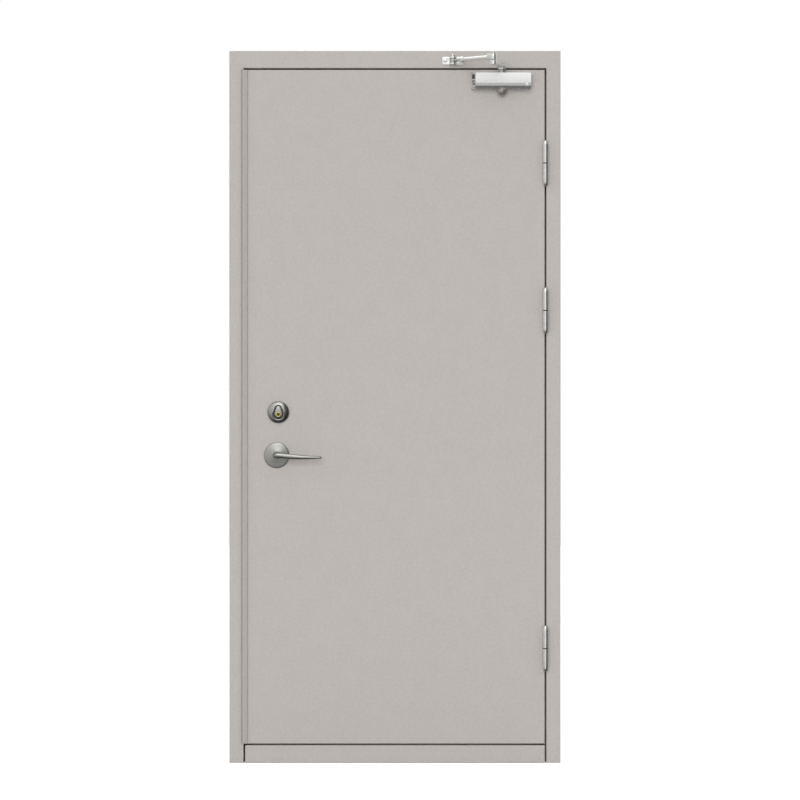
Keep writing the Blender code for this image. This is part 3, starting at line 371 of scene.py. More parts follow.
def surface(tree, size_mm, centre=(0, 0, 0)):
    """Object coordinates about a centre, counted in units of a pattern's size in millimetres."""
    lengths = [value / 1000 for value in size_mm]
    coordinates = add(tree, "TexCoord").outputs["Object"]
    sockets = {"Vector": coordinates, "Location": centre, "Scale": lengths}
    return add(tree, "Mapping", sockets, vector_type="TEXTURE").outputs["Vector"]


def vary(tree, shader, tone, code, shades, gloss, roughness, relief, spread=(0.35, 0.65)):
    """Let patterns draw the colour between two shades, the roughness between two values, and the relief.

    The relief is one or more layers of pattern, strength and depth in millimetres.
    """
    amount = add(tree, "MapRange", {"Value": tone, "From Min": spread[0], "From Max": spread[1]})
    dark, light = (shade(code, factor) for factor in shades)
    mixed = add(tree, "Mix", {0: amount.outputs[0], 6: dark, 7: light}, data_type="RGBA")
    tree.links.new(mixed.outputs[2], shader.inputs["Base Color"])
    low, high = roughness
    sockets = {"Value": gloss, "From Min": 0.3, "From Max": 0.7, "To Min": low, "To Max": high}
    tree.links.new(add(tree, "MapRange", sockets).outputs[0], shader.inputs["Roughness"])
    normal = None
    for pattern, strength, depth in relief:
        sockets = {"Height": pattern, "Strength": strength, "Distance": depth / 1000}
        if normal:
            sockets["Normal"] = normal
        normal = add(tree, "Bump", sockets).outputs["Normal"]
    tree.links.new(normal, shader.inputs["Normal"])


def powder_coat(name, code):
    # Powder coat on zinc-coated sheet: baked polyester with a fine orange peel, warm grey, half matt
    material, tree, shader = start_material(name, 0.0, 0.5)
    shader.inputs["IOR"].default_value = 1.5
    # The film's thickness drifts over about 45 mm and, more strongly, over 8 mm
    drift = add(tree, "TexNoise", {"Vector": surface(tree, (45, 45, 60)), "Scale": 1.0, "Detail": 3.0})
    cloud = add(tree, "TexNoise", {"Vector": surface(tree, (8, 8, 8)), "Scale": 1.0, "Detail": 2.0})
    speckle = add(tree, "Math", {0: cloud.outputs[0], 1: 0.75}, operation="MULTIPLY")
    sockets = {0: drift.outputs[0], 1: 0.25, 2: speckle.outputs[0]}
    both = add(tree, "Math", sockets, operation="MULTIPLY_ADD")
    # The real orange peel is 1 to 2 mm across; it is drawn at 3 mm so that it shows
    peel = add(tree, "TexNoise", {"Vector": surface(tree, (3, 3, 3)), "Scale": 1.0, "Detail": 2.0})
    relief = [(peel.outputs[0], 0.25, 0.10), (drift.outputs[0], 0.15, 0.08)]
    vary(
        tree, shader, both.outputs[0], code, (0.965, 1.03), peel.outputs[0], (0.44, 0.56), relief,
        (0.38, 0.62),
    )
    return material


def turned_satin(name, code, centre, rough=0.30, fan=0.0):
    # Stainless steel or brass turned on a lathe and brushed: fine rings that draw light into a fan
    material, tree, shader = start_material(name, 1.0, rough)
    shader.inputs["Anisotropic"].default_value = fan
    shader.inputs["Anisotropic Rotation"].default_value = 0.25
    place = surface(tree, (1, 1, 1), centre)
    across = add(tree, "VectorMath", {0: place, 1: (0, 1, 0)}, operation="CROSS_PRODUCT")
    tree.links.new(across.outputs[0], shader.inputs["Tangent"])
    apart = add(tree, "SeparateXYZ", {0: place})
    flat = add(tree, "CombineXYZ", {0: apart.outputs[0], 1: apart.outputs[2]})
    reach = add(tree, "VectorMath", {0: flat.outputs[0]}, operation="LENGTH")
    # The real rings are 0.1 mm apart; they are drawn at about 0.5 mm so that they show
    ring_line = add(tree, "CombineXYZ", {0: reach.outputs["Value"]})
    rings = add(tree, "TexNoise", {"Vector": ring_line.outputs[0], "Scale": 2.2, "Detail": 3.0}).outputs[0]
    wide = add(tree, "TexNoise", {"Vector": place, "Scale": 0.09, "Detail": 2.0}).outputs[0]
    vary(tree, shader, rings, code, (0.90, 1.05), wide, (rough - 0.04, rough + 0.06), [(rings, 0.55, 0.09)])
    return material


def brushed_satin(name, code, grain_mm, rough=0.30):
    # Stainless steel brushed in one direction: grain lines much longer than they are wide
    material, tree, shader = start_material(name, 1.0, rough)
    lines = add(tree, "TexNoise", {"Vector": surface(tree, grain_mm), "Scale": 1.0, "Detail": 3.0})
    wide = add(tree, "TexNoise", {"Vector": surface(tree, (12, 12, 12)), "Scale": 1.0, "Detail": 2.0})
    grain, cloud = lines.outputs[0], wide.outputs[0]
    vary(tree, shader, grain, code, (0.92, 1.05), cloud, (rough - 0.04, rough + 0.06), [(grain, 0.30, 0.05)])
    return material


def plated(name, code, rough):
    # Electroplated steel or brass: smooth, bright, with slight clouding from the bath
    material, tree, shader = start_material(name, 1.0, rough)
    wide = add(tree, "TexNoise", {"Vector": surface(tree, (9, 9, 14)), "Scale": 1.0, "Detail": 3.0})
    fine = add(tree, "TexNoise", {"Vector": surface(tree, (0.7, 0.7, 0.7)), "Scale": 1.0, "Detail": 2.0})
    cloud, relief = wide.outputs[0], [(fine.outputs[0], 0.12, 0.03)]
    vary(tree, shader, cloud, code, (0.92, 1.04), cloud, (rough - 0.04, rough + 0.07), relief)
    return material


def silver_paint(name, code):
    # Die-cast aluminium under silver stoving paint: fine flakes in a clear binder, soft sheen
    material, tree, shader = start_material(name, 0.88, 0.30)
    shader.inputs["Coat Weight"].default_value = 0.15
    shader.inputs["Coat Roughness"].default_value = 0.25
    # The real flakes are 0.03 mm across; they are drawn at 0.5 mm so that they show
    flakes = add(tree, "TexVoronoi", {"Vector": surface(tree, (0.5, 0.5, 0.5)), "Scale": 1.0})
    brightness = add(tree, "SeparateColor", {0: flakes.outputs["Color"]}).outputs[0]
    wide = add(tree, "TexNoise", {"Vector": surface(tree, (4, 4, 4)), "Scale": 1.0, "Detail": 3.0})
    cast = wide.outputs[0]
    vary(
        tree, shader, brightness, code, (0.93, 1.03), cast, (0.27, 0.34), [(cast, 0.20, 0.10)], (0.0, 1.0),
    )
    return material


def moulded(name, code, rough, grain_mm, depth, metallic=0.0):
    # Moulded plastic, extruded strip or pressed board: even colour, fine grain from the mould
    material, tree, shader = start_material(name, metallic, rough)
    shader.inputs["IOR"].default_value = 1.5
    fine = add(tree, "TexNoise", {"Vector": surface(tree, grain_mm), "Scale": 1.0, "Detail": 3.0})
    wide = add(tree, "TexNoise", {"Vector": surface(tree, (20, 20, 20)), "Scale": 1.0, "Detail": 2.0})
    grain, cloud = fine.outputs[0], wide.outputs[0]
    vary(tree, shader, cloud, code, (0.93, 1.05), grain, (rough - 0.05, rough + 0.08), [(grain, 0.3, depth)])
    return material


class Finishes:
    """The door's materials, made once when first asked for."""

    made = {}

    @classmethod
    def get(cls, name):
        if name not in cls.made:
            hexes = colours()
            makers = {
                "paint": (powder_coat, "powder_coated_sheet_steel", hexes.paint),
                # Painted shade: the lip gets a darker copy of the powder coat
                "lip": (powder_coat, "powder_coat_darkened_as_painted_lip_shade", hexes.lip),
                "silver": (silver_paint, "silver_stoved_die_cast_aluminium", hexes.silver),
                "rose": (turned_satin, "turned_satin_stainless_rose", hexes.satin, LEVER, 0.30, 0.8),
                "collar": (turned_satin, "turned_satin_stainless_collar", hexes.satin, BOLT, 0.24),
                "plug": (turned_satin, "turned_brass", hexes.brass, PLUG, 0.28),
                # Painted shade: a darkened copy of the brass stands for the shade in the keyway
                "keyway": (turned_satin, "brass_darkened_as_painted_keyway_shade", "#6B5A1C", PLUG, 0.50),
                "lever": (brushed_satin, "brushed_stainless_lever", hexes.satin, (40, 0.8, 0.8)),
                "bright": (plated, "nickel_plated_steel", hexes.nickel, 0.20),
                "zinc": (plated, "zinc_plated_steel", "#C2C3C0", 0.34),
                "washer": (moulded, "moulded_dark_nylon", "#3A3533", 0.45, (0.6, 0.6, 0.6), 0.02),
                "cylinder": (plated, "nickel_plated_brass", "#A6A6A1", 0.30),
                "cap": (moulded, "flake_filled_grey_nylon", hexes.cap, 0.34, (0.6, 0.6, 0.6), 0.02, 0.7),
                "seal": (moulded, "extruded_fire_seal", hexes.seal, 0.70, (1.5, 1.5, 60), 0.15),
                "board": (moulded, "pressed_mineral_board", "#C8BFAE", 0.85, (2, 2, 2), 0.3),
                # Painted shade: dark plastic put in the collars' openings and the closer's sockets where
                # shade falls
                "dark": (moulded, "dark_plastic_as_painted_shade", "#45423F", 0.6, (1, 1, 1), 0.02),
            }
            maker, *values = makers[name]
            cls.made[name] = maker(*values)
        return cls.made[name]


# Screws, modelled once and copied

def cross_screw(radius, height):
    """Low domed head with a cross recess; its seat is at the origin and it points up."""
    piece = turned("screw", (0, 0, 0), UP, [
        (radius, 0), (radius, height * 0.35), (radius * 0.9, height * 0.72), (radius * 0.62, height * 0.95),
        (radius * 0.3, height),
    ], 32)
    arm, wing = radius * 0.52, radius * 0.13
    for size in ((arm, wing), (wing, arm)):
        boolean(piece, block("recess", (-size[0], -size[1], height * 0.25), (size[0], size[1], height * 2)))
    return piece


def socket_screw(radius, height):
    """Round head with a six-sided socket; its seat is at the origin and it points up."""
    piece = turned("screw", (0, 0, 0), UP, [
        (radius, 0), (radius, height * 0.8), (radius * 0.94, height * 0.94), (radius * 0.84, height),
    ], 32)
    return bore(piece, (0, 0, height * 0.4), UP, height, radius * 0.5, 6)


def set_screws(screw, name, places, axis, body, finish, slot):
    """Copies of a screw at places, pointing along an axis; the model itself is removed."""
    turn = Vector(axis).to_track_quat("Z", "Y").to_matrix().to_4x4()
    copies = [
        copied(screw, f"{name}_{number}", Matrix.Translation(Vector(place)) @ turn)
        for number, place in enumerate(places, start=1)
    ]
    bpy.data.objects.remove(screw, do_unlink=True)
    made = join(name, *copies) if len(copies) > 1 else copies[0]
    made.name = name
    return dress(made, body, finish, slot)


# Pieces

class FIREDOOR_OT_painted_sheet(Operator):
    """Powder coat on the frame and the leaf, a darker copy of it as painted shade on the lip, and finishes
    of the solids that stay as they are
    """

    bl_idname = "firedoor.painted_sheet"
    bl_label = "Painted sheet"

    # Hem folded over the lip's outer edge, and the seam that runs along it
    hem_width = 0.0038
    hem_depth = 0.0045
    seam_from = 0.0006
    seam_to = 0.0029
    seam_depth = 0.0039

    def lip(self):
        """Lip with its hem; the hem's seam is the dark line along the lip."""
        low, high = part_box("lock_edge_lip")
        piece = node_copy("lock_edge_lip", "hemmed_lip")
        hem = block("hem", low, (low.x + self.hem_width, low.y + self.hem_depth, high.z))
        boolean(piece, hem, "UNION")

        def outer_edge(a, b):
            return abs(a.z - b.z) > 1 and max(a.x, b.x) < low.x + NEAR and a.y < low.y + NEAR

        bevel_edges(piece, outer_edge, 0.0003, 2)
        boolean(piece, block(
            "seam", (low.x + self.seam_from, low.y - PAST, low.z - PAST),
            (low.x + self.seam_to, low.y + self.seam_depth, high.z + PAST),
        ))
        # The lip takes the darker copy of the paint, which is painted shade
        dress(piece, "leaf", "lip", "leaf_paint", "lock_edge_lip")

    def execute(self, context):
        sheets = ("hinge_jamb", "lock_jamb", "frame_head", "sill", "leaf_front_pan", "leaf_back_pan")
        coat("paint", *sheets)
        self.lip()
        coat("board", "leaf_core")
        coat("seal", "hinge_side_seal", "lock_side_seal", "head_seal")
        coat("zinc", "deadbolt", "lever_spindle", "closer_pinion")
        return {"FINISHED"}


class FIREDOOR_OT_hinges(Operator):
    """Lift-off hinges: bullet-nosed knuckles on let-in plates, with their washers and screws"""

    bl_idname = "firedoor.hinges"
    bl_label = "Hinges"

    radius = 0.009
    length = 0.069
    # Heights along the bullet nose, and the knuckle's thickness there as a share
    nose = (
        (0.0540, 1), (0.0572, 0.985), (0.0606, 0.93), (0.0638, 0.83), (0.0665, 0.68), (0.0683, 0.46),
        (0.0690, 0.2),
    )
    # Extent of a plate: sideways from the pin, back from it, and along the knuckle
    plate_aside = (0.0025, 0.0045)
    plate_back = (0.006, 0.043)
    plate_along = (0.004, 0.054)
    # Screws of a plate: back from the pin and along the knuckle
    screws = ((0.022, 0.014), (0.035, 0.030), (0.022, 0.047))

    def half(self, node, side):
        """Lower half on the frame, at side 1, or upper half on the leaf, at side -1."""
        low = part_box(node)[0]
        pin = middle(node.rsplit("_", 2)[0] + "_washer")
        start = low.z if side < 0 else low.z + self.length
        profile = [(self.radius - 0.0007, 0), (self.radius, 0.0007)]
        profile += [(self.radius * share, height) for height, share in self.nose]
        knuckle = turned(node + "_knuckle", (pin.x, pin.y, start), UP * -side, profile, 48)
        xs = sorted(pin.x + side * aside for aside in self.plate_aside)
        ys = [pin.y + back for back in self.plate_back]
        zs = sorted(start - side * along for along in self.plate_along)
        plate = block(node + "_plate", *zip(xs, ys, zs))
        bevel_edges(plate, lambda a, b: abs(a.x - b.x) > 0.001 and a.y > ys[1] - NEAR, 0.003, 5)
        soften(plate)
        boolean(knuckle, plate, "UNION")
        return dress(knuckle, "frame" if side > 0 else "leaf", "bright", "hinge_steel", node)

    def execute(self, context):
        for number in (1, 2, 3):
            name = f"hinge_{number}"
            self.half(name + "_frame_half", 1).name = name + "_lower_half"
            self.half(name + "_leaf_half", -1).name = name + "_upper_half"
            washer = soften(node_copy(name + "_washer", name + "_bearing_washer"))
            dress(washer, "frame", "washer", "grey_plastic", name + "_washer")
            pin = middle(name + "_washer")
            for role, body, side in (("jamb", "frame", 1), ("leaf", "leaf", -1)):
                face = pin.x + side * self.plate_aside[0]
                spots = [
                    (face + side * SUNK, pin.y + back, pin.z - side * along) for back, along in self.screws
                ]
                screw = cross_screw(sizes().plate_screw, 0.0008)
                set_screws(screw, f"{name}_{role}_screws", spots, (-side, 0, 0), body, "zinc", "zinc_steel")
        return {"FINISHED"}


class FIREDOOR_OT_lever_set(Operator):
    """Lever handles on turned roses, front and back"""

    bl_idname = "firedoor.lever_set"
    bl_label = "Lever set"

    # The bend's radius, the lever's length from the spindle, and how far it stands out from the door
    bend = 0.0105
    reach = 0.137
    stand_off = 0.0558
    # Half the thickness of the neck, and half the depth of the grip
    neck = 0.0095
    depth = 0.0072
    # How much thinner the grip gets, how far it comes back to the door and how far it drops
    thinning = 0.0016
    inward = 0.004
    droop = 0.0062
    # How much wider the mitred corner is than the bars that meet in it; the subdivision rounds it
    mitre = 1.36
    # Places of the grip's rings along its length, closer together at the round tip
    shares = (0.10, 0.22, 0.36, 0.50, 0.64, 0.77, 0.88, 0.94, 0.972, 0.989, 0.998)
    rose = (
        (0.0385, 0), (0.0385, 0.0026), (0.0382, 0.0037), (0.0374, 0.0045), (0.0360, 0.0050),
        (0.0338, 0.0055), (0.0300, 0.0062), (0.0250, 0.0071), (0.0190, 0.0082), (0.0140, 0.0091),
        (0.0118, 0.0094), (0.0107, 0.0092), (0.0101, 0.0087), (0.0099, 0.0070),
    )

    def stations(self):
        """Rings along the lever: x, distance out, drop, heading, half height, half depth."""
        grip, tip = sizes().grip_height, sizes().tip_height
        straight = self.stand_off - self.bend
        rings = [
            (0, out, 0, pi / 2, self.neck, self.neck) for out in (0.004, 0.014, straight - 0.014, straight)
        ]
        corner = self.mitre * (self.neck + self.depth) / 2
        rings.append((0, self.stand_off, 0, pi / 4, (self.neck + grip) / 2, corner))
        rings.append((self.bend, self.stand_off, 0, 0, grip, self.depth))
        run = self.reach - self.bend
        for along in self.shares:
            from_tip = (1 - along) * run / (tip * 1.1)
            cap = sqrt(1 - (1 - from_tip) ** 2) if from_tip < 1 else 1.0
            up = (grip + (tip - grip) * along ** 1.6) * cap
            thick = (self.depth - self.thinning * min(1.0, along * 4)) * cap
            out = self.stand_off - self.inward * along ** 2
            drop = self.droop * (1 - (1 - along) ** 3)
            rings.append((self.bend + run * along, out, drop, 0.0, up, thick))
        return rings

    def handle(self, name, outward, face_y):
        """Sweep a ring through the stations; the turn and the taper are transform steps."""

        def point(ring):
            return Vector((LEVER.x + ring[0], face_y + outward * ring[1], LEVER.z - ring[2]))

        rings = self.stations()
        first = rings[0]
        piece = primitive(
            "circle", name, vertices=16, radius=first[4], fill_type="NGON", location=point(first),
            rotation=tilt_to((0, outward, 0)),
        )
        edit(piece)
        for before, ring in zip(rings, rings[1:]):
            centre = point(ring)
            bpy.ops.mesh.extrude_region_move(TRANSFORM_OT_translate={"value": centre - point(before)})
            turn = before[3] - ring[3]
            if turn:
                bpy.ops.transform.rotate(value=outward * turn, orient_axis="Z", center_override=centre)
            flat, up = ring[5] / before[5], ring[4] / before[4]
            bpy.ops.transform.resize(value=(flat, flat, up), center_override=centre)
        face_out()
        return modify(piece, "SUBSURF", levels=2, render_levels=2)

    def execute(self, context):
        for role, outward in (("front", -1), ("back", 1)):
            node = f"lever_rose_{role}"
            low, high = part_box(node)
            face_y = high.y if outward < 0 else low.y
            rose = turned(f"rose_{role}", (LEVER.x, face_y, LEVER.z), (0, outward, 0), self.rose, 96)
            dress(rose, "leaf", "rose", "satin_steel", node, angle=50)
            handle = self.handle(f"handle_{role}", outward, face_y)
            dress(handle, "lever", "lever", "satin_steel", f"lever_{role}", angle=60)
        return {"FINISHED"}


class FIREDOOR_OT_deadbolt(Operator):
    """Domed collars, profile cylinder with its brass plug and keyway, and the thumbturn at the back"""

    bl_idname = "firedoor.deadbolt"
    bl_label = "Deadbolt"

    # Lower and upper radius of each pear shape, and the height of its upper round's centre above the plug
    opening = (0.0156, 0.0086)
    dish = (0.0184, 0.0112)
    seat = (0.0153, 0.0083)
    barrel_radii = (0.0110, 0.0064)
    upper = 0.0190
    # The cylinder's lower round sits a little above the opening's
    barrel_lift = 0.0017
    plug_bore = 0.0088
    dome = (
        (0.0330, 0), (0.0330, 0.0038), (0.0327, 0.0054), (0.0318, 0.0067), (0.0302, 0.0080),
        (0.0280, 0.0092), (0.0255, 0.0103), (0.0230, 0.0113), (0.0205, 0.0121), (0.0180, 0.0127),
        (0.0150, 0.0130),
    )
    # How far the dish's floor and the far side of a cut stand out from the door
    dish_floor = 0.0106
    clear = 0.02
    # The plug's face is a bright ring round a sunk keyway; the dark brass disc in it is painted shade
    plug_length = 0.0230
    plug = (
        (0.0085, 0), (0.0085, 0.0218), (0.0083, 0.0226), (0.0078, 0.0230), (0.0054, 0.0230),
        (0.0048, 0.0227), (0.0044, 0.0220), (0.0042, 0.0196),
    )
    guide = ((0.0040, 0), (0.0040, 0.0012), (0.0036, 0.0016), (0.0020, 0.0017))
    guide_back = 0.0033
    # Corners of the keyway's slot and of the step in it: sideways and up from the plug's middle
    keyway = (((-0.0010, -0.0035), (0.0010, 0.0035)), ((-0.0010, -0.0035), (0.0019, -0.0012)))
    keyway_depth = 0.0028
    stem = ((0.0085, 0), (0.0085, 0.0160), (0.0078, 0.0172), (0.0062, 0.0178), (0.0052, 0.0184))

    def pear(self, name, low, high, radii, lift=0.0):
        ends = [Vector((PLUG.x, 0, PLUG.z + lift)), Vector((PLUG.x, 0, PLUG.z + self.upper))]
        return plank(name, ends, radii, BACK, low, high)

    def barrel(self, name, low, high, margin=0.0):
        """The cylinder's own section, smaller than the opening, so that a dark gap shows round it."""
        radii = [radius + margin for radius in self.barrel_radii]
        return self.pear(name, low, high, radii, self.barrel_lift)

    def collar(self, node, name, outward):
        low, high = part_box(node)
        face_y = high.y if outward < 0 else low.y
        piece = turned(name, (BOLT.x, face_y, BOLT.z), (0, outward, 0), self.dome, 96)
        # A shallow dish runs round the pear-shaped opening
        floor_y = face_y + outward * self.dish_floor
        near, far = sorted((floor_y, face_y + outward * self.clear))
        dish = self.pear("dish_cut", near, far, self.dish)
        bevel_edges(dish, lambda a, b: max(abs(a.y - floor_y), abs(b.y - floor_y)) < NEAR, 0.0028, 6)
        boolean(piece, dish)
        boolean(piece, self.pear("pear_cut", face_y - self.clear, face_y + self.clear, self.opening))
        dress(piece, "leaf", "collar", "satin_steel", node, angle=40)
        # Black seat at the bottom of the opening: painted shade that darkens the gap round the cylinder
        near, far = sorted((face_y + outward * 0.0002, face_y + outward * 0.0030))
        seat = self.pear(name + "_painted_shade_seat", near, far, self.seat)
        boolean(seat, self.barrel("barrel_cut", near - PAST, far + PAST, 0.0003))
        dress(seat, "leaf", "dark", "grey_plastic")

    def execute(self, context):
        self.collar("deadbolt_collar", "collar_front", -1)
        self.collar("thumbturn_collar", "collar_back", 1)
        front, back = CYLINDER_LOW.y, CYLINDER_HIGH.y
        axis = Vector((PLUG.x, 0, PLUG.z))
        body = self.barrel("profile_cylinder", front, back)
        soften(body, 0.0005, 3, 60)
        bore(body, axis + BACK * (front - PAST), BACK, 0.026, self.plug_bore, 56)
        bore(body, axis + BACK * (back - 0.016), BACK, 0.018, self.plug_bore, 56)
        dress(body, "leaf", "cylinder", "satin_steel", "deadbolt_cylinder")

        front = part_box("cylinder_plug")[0].y
        plug = turned("brass_plug", axis + BACK * (front + self.plug_length), -BACK, self.plug, 56)
        dress(plug, "leaf", "plug", "brass", "cylinder_plug", angle=45)
        # Dark disc with the keyway's slot: painted shade in the sunk keyway
        guide = turned("keyway_painted_shade_disc", axis + BACK * (front + self.guide_back), -BACK, self.guide, 40)
        for low, high in self.keyway:
            start = axis + Vector((low[0], front, low[1]))
            end = axis + Vector((high[0], front + self.keyway_depth, high[1]))
            boolean(guide, block("keyway", start, end))
        dress(guide, "leaf", "keyway", "brass")

        knob = turned("turn_stem", axis + BACK * (back - 0.014), BACK, self.stem, 56)
        ends = [axis + UP * 0.0090, axis - UP * 0.0090]
        grip = plank("turn_grip", ends, (0.0060, 0.0060), BACK, back + 0.004, back + 0.020, 32)
        soften(grip, 0.0018, 4, 60)
        boolean(knob, grip, "UNION")
        knob.name = "turn_knob"
        dress(knob, "leaf", "cylinder", "satin_steel", "thumbturn")
        return {"FINISHED"}


class FIREDOOR_OT_lock_edge(Operator):
    """Faceplates in the lock edge with their screws, and the bevelled latch"""

    bl_idname = "firedoor.lock_edge"
    bl_label = "Lock edge"

    # Heights of a plate's two screws from its middle
    screws = (-0.0225, 0.0225)

    def execute(self, context):
        for node, name in (("latch_faceplate", "latch_plate"), ("deadbolt_faceplate", "bolt_plate")):
            plate = soften(node_copy(node, name))
            dress(plate, "leaf", "zinc", "zinc_steel", node)
            mid = middle(node)
            spots = [(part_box(node)[0].x + SUNK, mid.y, mid.z + dz) for dz in self.screws]
            screw = cross_screw(0.0036, 0.0007)
            set_screws(screw, name + "_screws", spots, (-1, 0, 0), "leaf", "zinc", "zinc_steel")
        latch = soften(node_copy("latch_bolt", "latch"), 0.0005, 3)
        dress(latch, "leaf", "bright", "zinc_steel", "latch_bolt")
        return {"FINISHED"}


class FIREDOOR_OT_closer_body(Operator):
    """Closer housing with its sloping lower bands, end cap, valves, screws and pinion cap"""

    bl_idname = "firedoor.closer_body"
    bl_label = "Closer body"

    # How far the housing stands out from the leaf
    stand_off = 0.040
    # Each lower band: a point on it and its direction, back from the front and up from the bottom
    bands = (
        ((0.0, 0.0315), (0.0010, -0.0135)),
        ((0.0010, 0.0180), (0.0020, -0.0085)),
        ((0.0030, 0.0095), (0.0056, -0.0095)),
    )
    # The bands' long edges lie within this depth and height
    band_depth = 0.02
    band_height = 0.019
    # The slanted end: how far out it starts and ends, its width, and how far out its middle is
    end_high = 0.040
    end_low = 0.023
    end_run = 0.014
    end_middle = 0.0315
    socket_depth = 0.0021
    collar = ((0.0145, 0), (0.0145, 0.0030), (0.0141, 0.0036), (0.0134, 0.0038), (0.0110, 0.0038))

    def housing(self):
        low, high = CLOSER_LOW.copy(), CLOSER_HIGH.copy()
        high.z = CAP_HIGH.z
        low.y = LEAF_LOW.y - self.stand_off
        piece = block("closer_housing", low, high)
        for (back, up), (run, rise) in self.bands:
            edit(piece)
            bpy.ops.mesh.bisect(
                plane_co=(low.x, low.y + back, low.z + up), plane_no=Vector((0, rise, -run)).normalized(),
                use_fill=True, clear_outer=True,
            )
            leave()

        # The corners at the free end are rounded, as seen from the front
        for level, radius in ((low.z, 0.008), (high.z, 0.004)):

            def corner(a, b):
                return min(a.x, b.x) > high.x - NEAR and max(abs(a.z - level), abs(b.z - level)) < NEAR

            bevel_edges(piece, corner, radius, 6)

        def along_top(a, b):
            return abs(a.x - b.x) > 0.1 and a.y < low.y + NEAR and a.z > high.z - NEAR

        def along_bands(a, b):
            within = a.y < low.y + self.band_depth and a.z < low.z + self.band_height
            return abs(a.x - b.x) > 0.1 and within

        bevel_edges(piece, along_top, 0.0025, 4)
        bevel_edges(piece, along_bands, 0.0022, 4)
        return soften(piece, 0.0012, 3, 28)

    def execute(self, context):
        slot = "closer_silver"
        body = self.housing()
        collar = turned("pinion_collar", PINION + UP * (CAP_HIGH.z - 0.002), UP, self.collar, 56)
        boolean(body, collar, "UNION")
        bore(body, PINION + UP * (CAP_HIGH.z - 0.030), UP, 0.04, 0.0100, 56)
        # Counterbore of the fixing screw near the lower right corner
        spot = Vector((CLOSER_HIGH.x - 0.0125, CLOSER_LOW.y, CLOSER_LOW.z + 0.0138))
        bore(body, spot - BACK * 0.002, BACK, 0.0065, 0.0058)
        dress(body, "leaf", "silver", slot, "closer_body")
        # Flat faces keep flat shading beside their rounded edges
        modify(body, "WEIGHTED_NORMAL", keep_sharp=True, weight=100)
        head = socket_screw(0.0046, 0.0030)
        set_screws(head, "closer_front_screw", [spot + BACK * 0.0045], -BACK, "leaf", "bright", "zinc_steel")
        dress(node_copy("closer_end_cap", "closer_end_piece"), "leaf", "silver", slot, "closer_end_cap")
        self.valves()
        self.pinion_cap()
        return {"FINISHED"}

    def valves(self):
        """In the slanted end: a dark insert above and a dark ring round a bright adjusting screw below,
        painted shade in the sockets.
        """
        slope = atan2(self.end_high - self.end_low, self.end_run)
        out = Vector((-sin(slope), -cos(slope), 0))
        aside = Vector((-cos(slope), sin(slope), 0))
        mid = Vector(((CAP_LOW.x + CAP_HIGH.x) / 2, LEAF_LOW.y - self.end_middle, 0))
        height = CAP_HIGH.z - CAP_LOW.z
        # Middles of the two sockets' floors, as shares of the end's height from the top
        upper, lower = (
            mid + UP * (CAP_HIGH.z - height * share) - out * self.socket_depth for share in (0.245, 0.61)
        )
        # Dark insert on the upper socket's floor: painted shade of the socket
        insert = primitive("cube", "valve_socket_painted_shade", size=1.0, stretch=(0.0132, 0.0011, 0.0137))
        turn = Matrix((aside, out, UP)).transposed().to_4x4()
        insert.data.transform(Matrix.Translation(upper + out * 0.0006) @ turn)
        soften(insert, 0.0004)
        dress(insert, "leaf", "dark", "grey_plastic")
        # Dark ring in the lower socket round the screw: painted shade of the socket
        ring = turned("valve_ring_painted_shade", lower, out, [(0.0071, 0), (0.0071, 0.0007), (0.0066, 0.0011)], 48)
        bore(ring, lower - out * 0.002, out, 0.005, 0.0046)
        dress(ring, "leaf", "dark", "grey_plastic")
        head = socket_screw(0.0043, 0.0026)
        set_screws(head, "closer_valve_screw", [lower + out * 0.0001], out, "leaf", "bright", "zinc_steel")

    def pinion_cap(self):
        """Domed cap: a short wall, then a quarter round in steps."""
        low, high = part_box("closer_pinion_cap")
        drop = high.z - low.z
        radius = (high.x - low.x) / 2
        steps = 9
        profile = [(radius, 0), (radius, drop * 0.22)]
        for step in range(1, steps):
            turn = pi / 2 * step / steps
            profile.append((radius * cos(turn), drop * (0.25 + 0.75 * sin(turn))))
        profile.append((radius * 0.08, drop))
        piece = turned("pinion_end_cap", PINION + UP * high.z, -UP, profile, 64)
        dress(piece, "leaf", "cap", "grey_plastic", "closer_pinion_cap", angle=50)


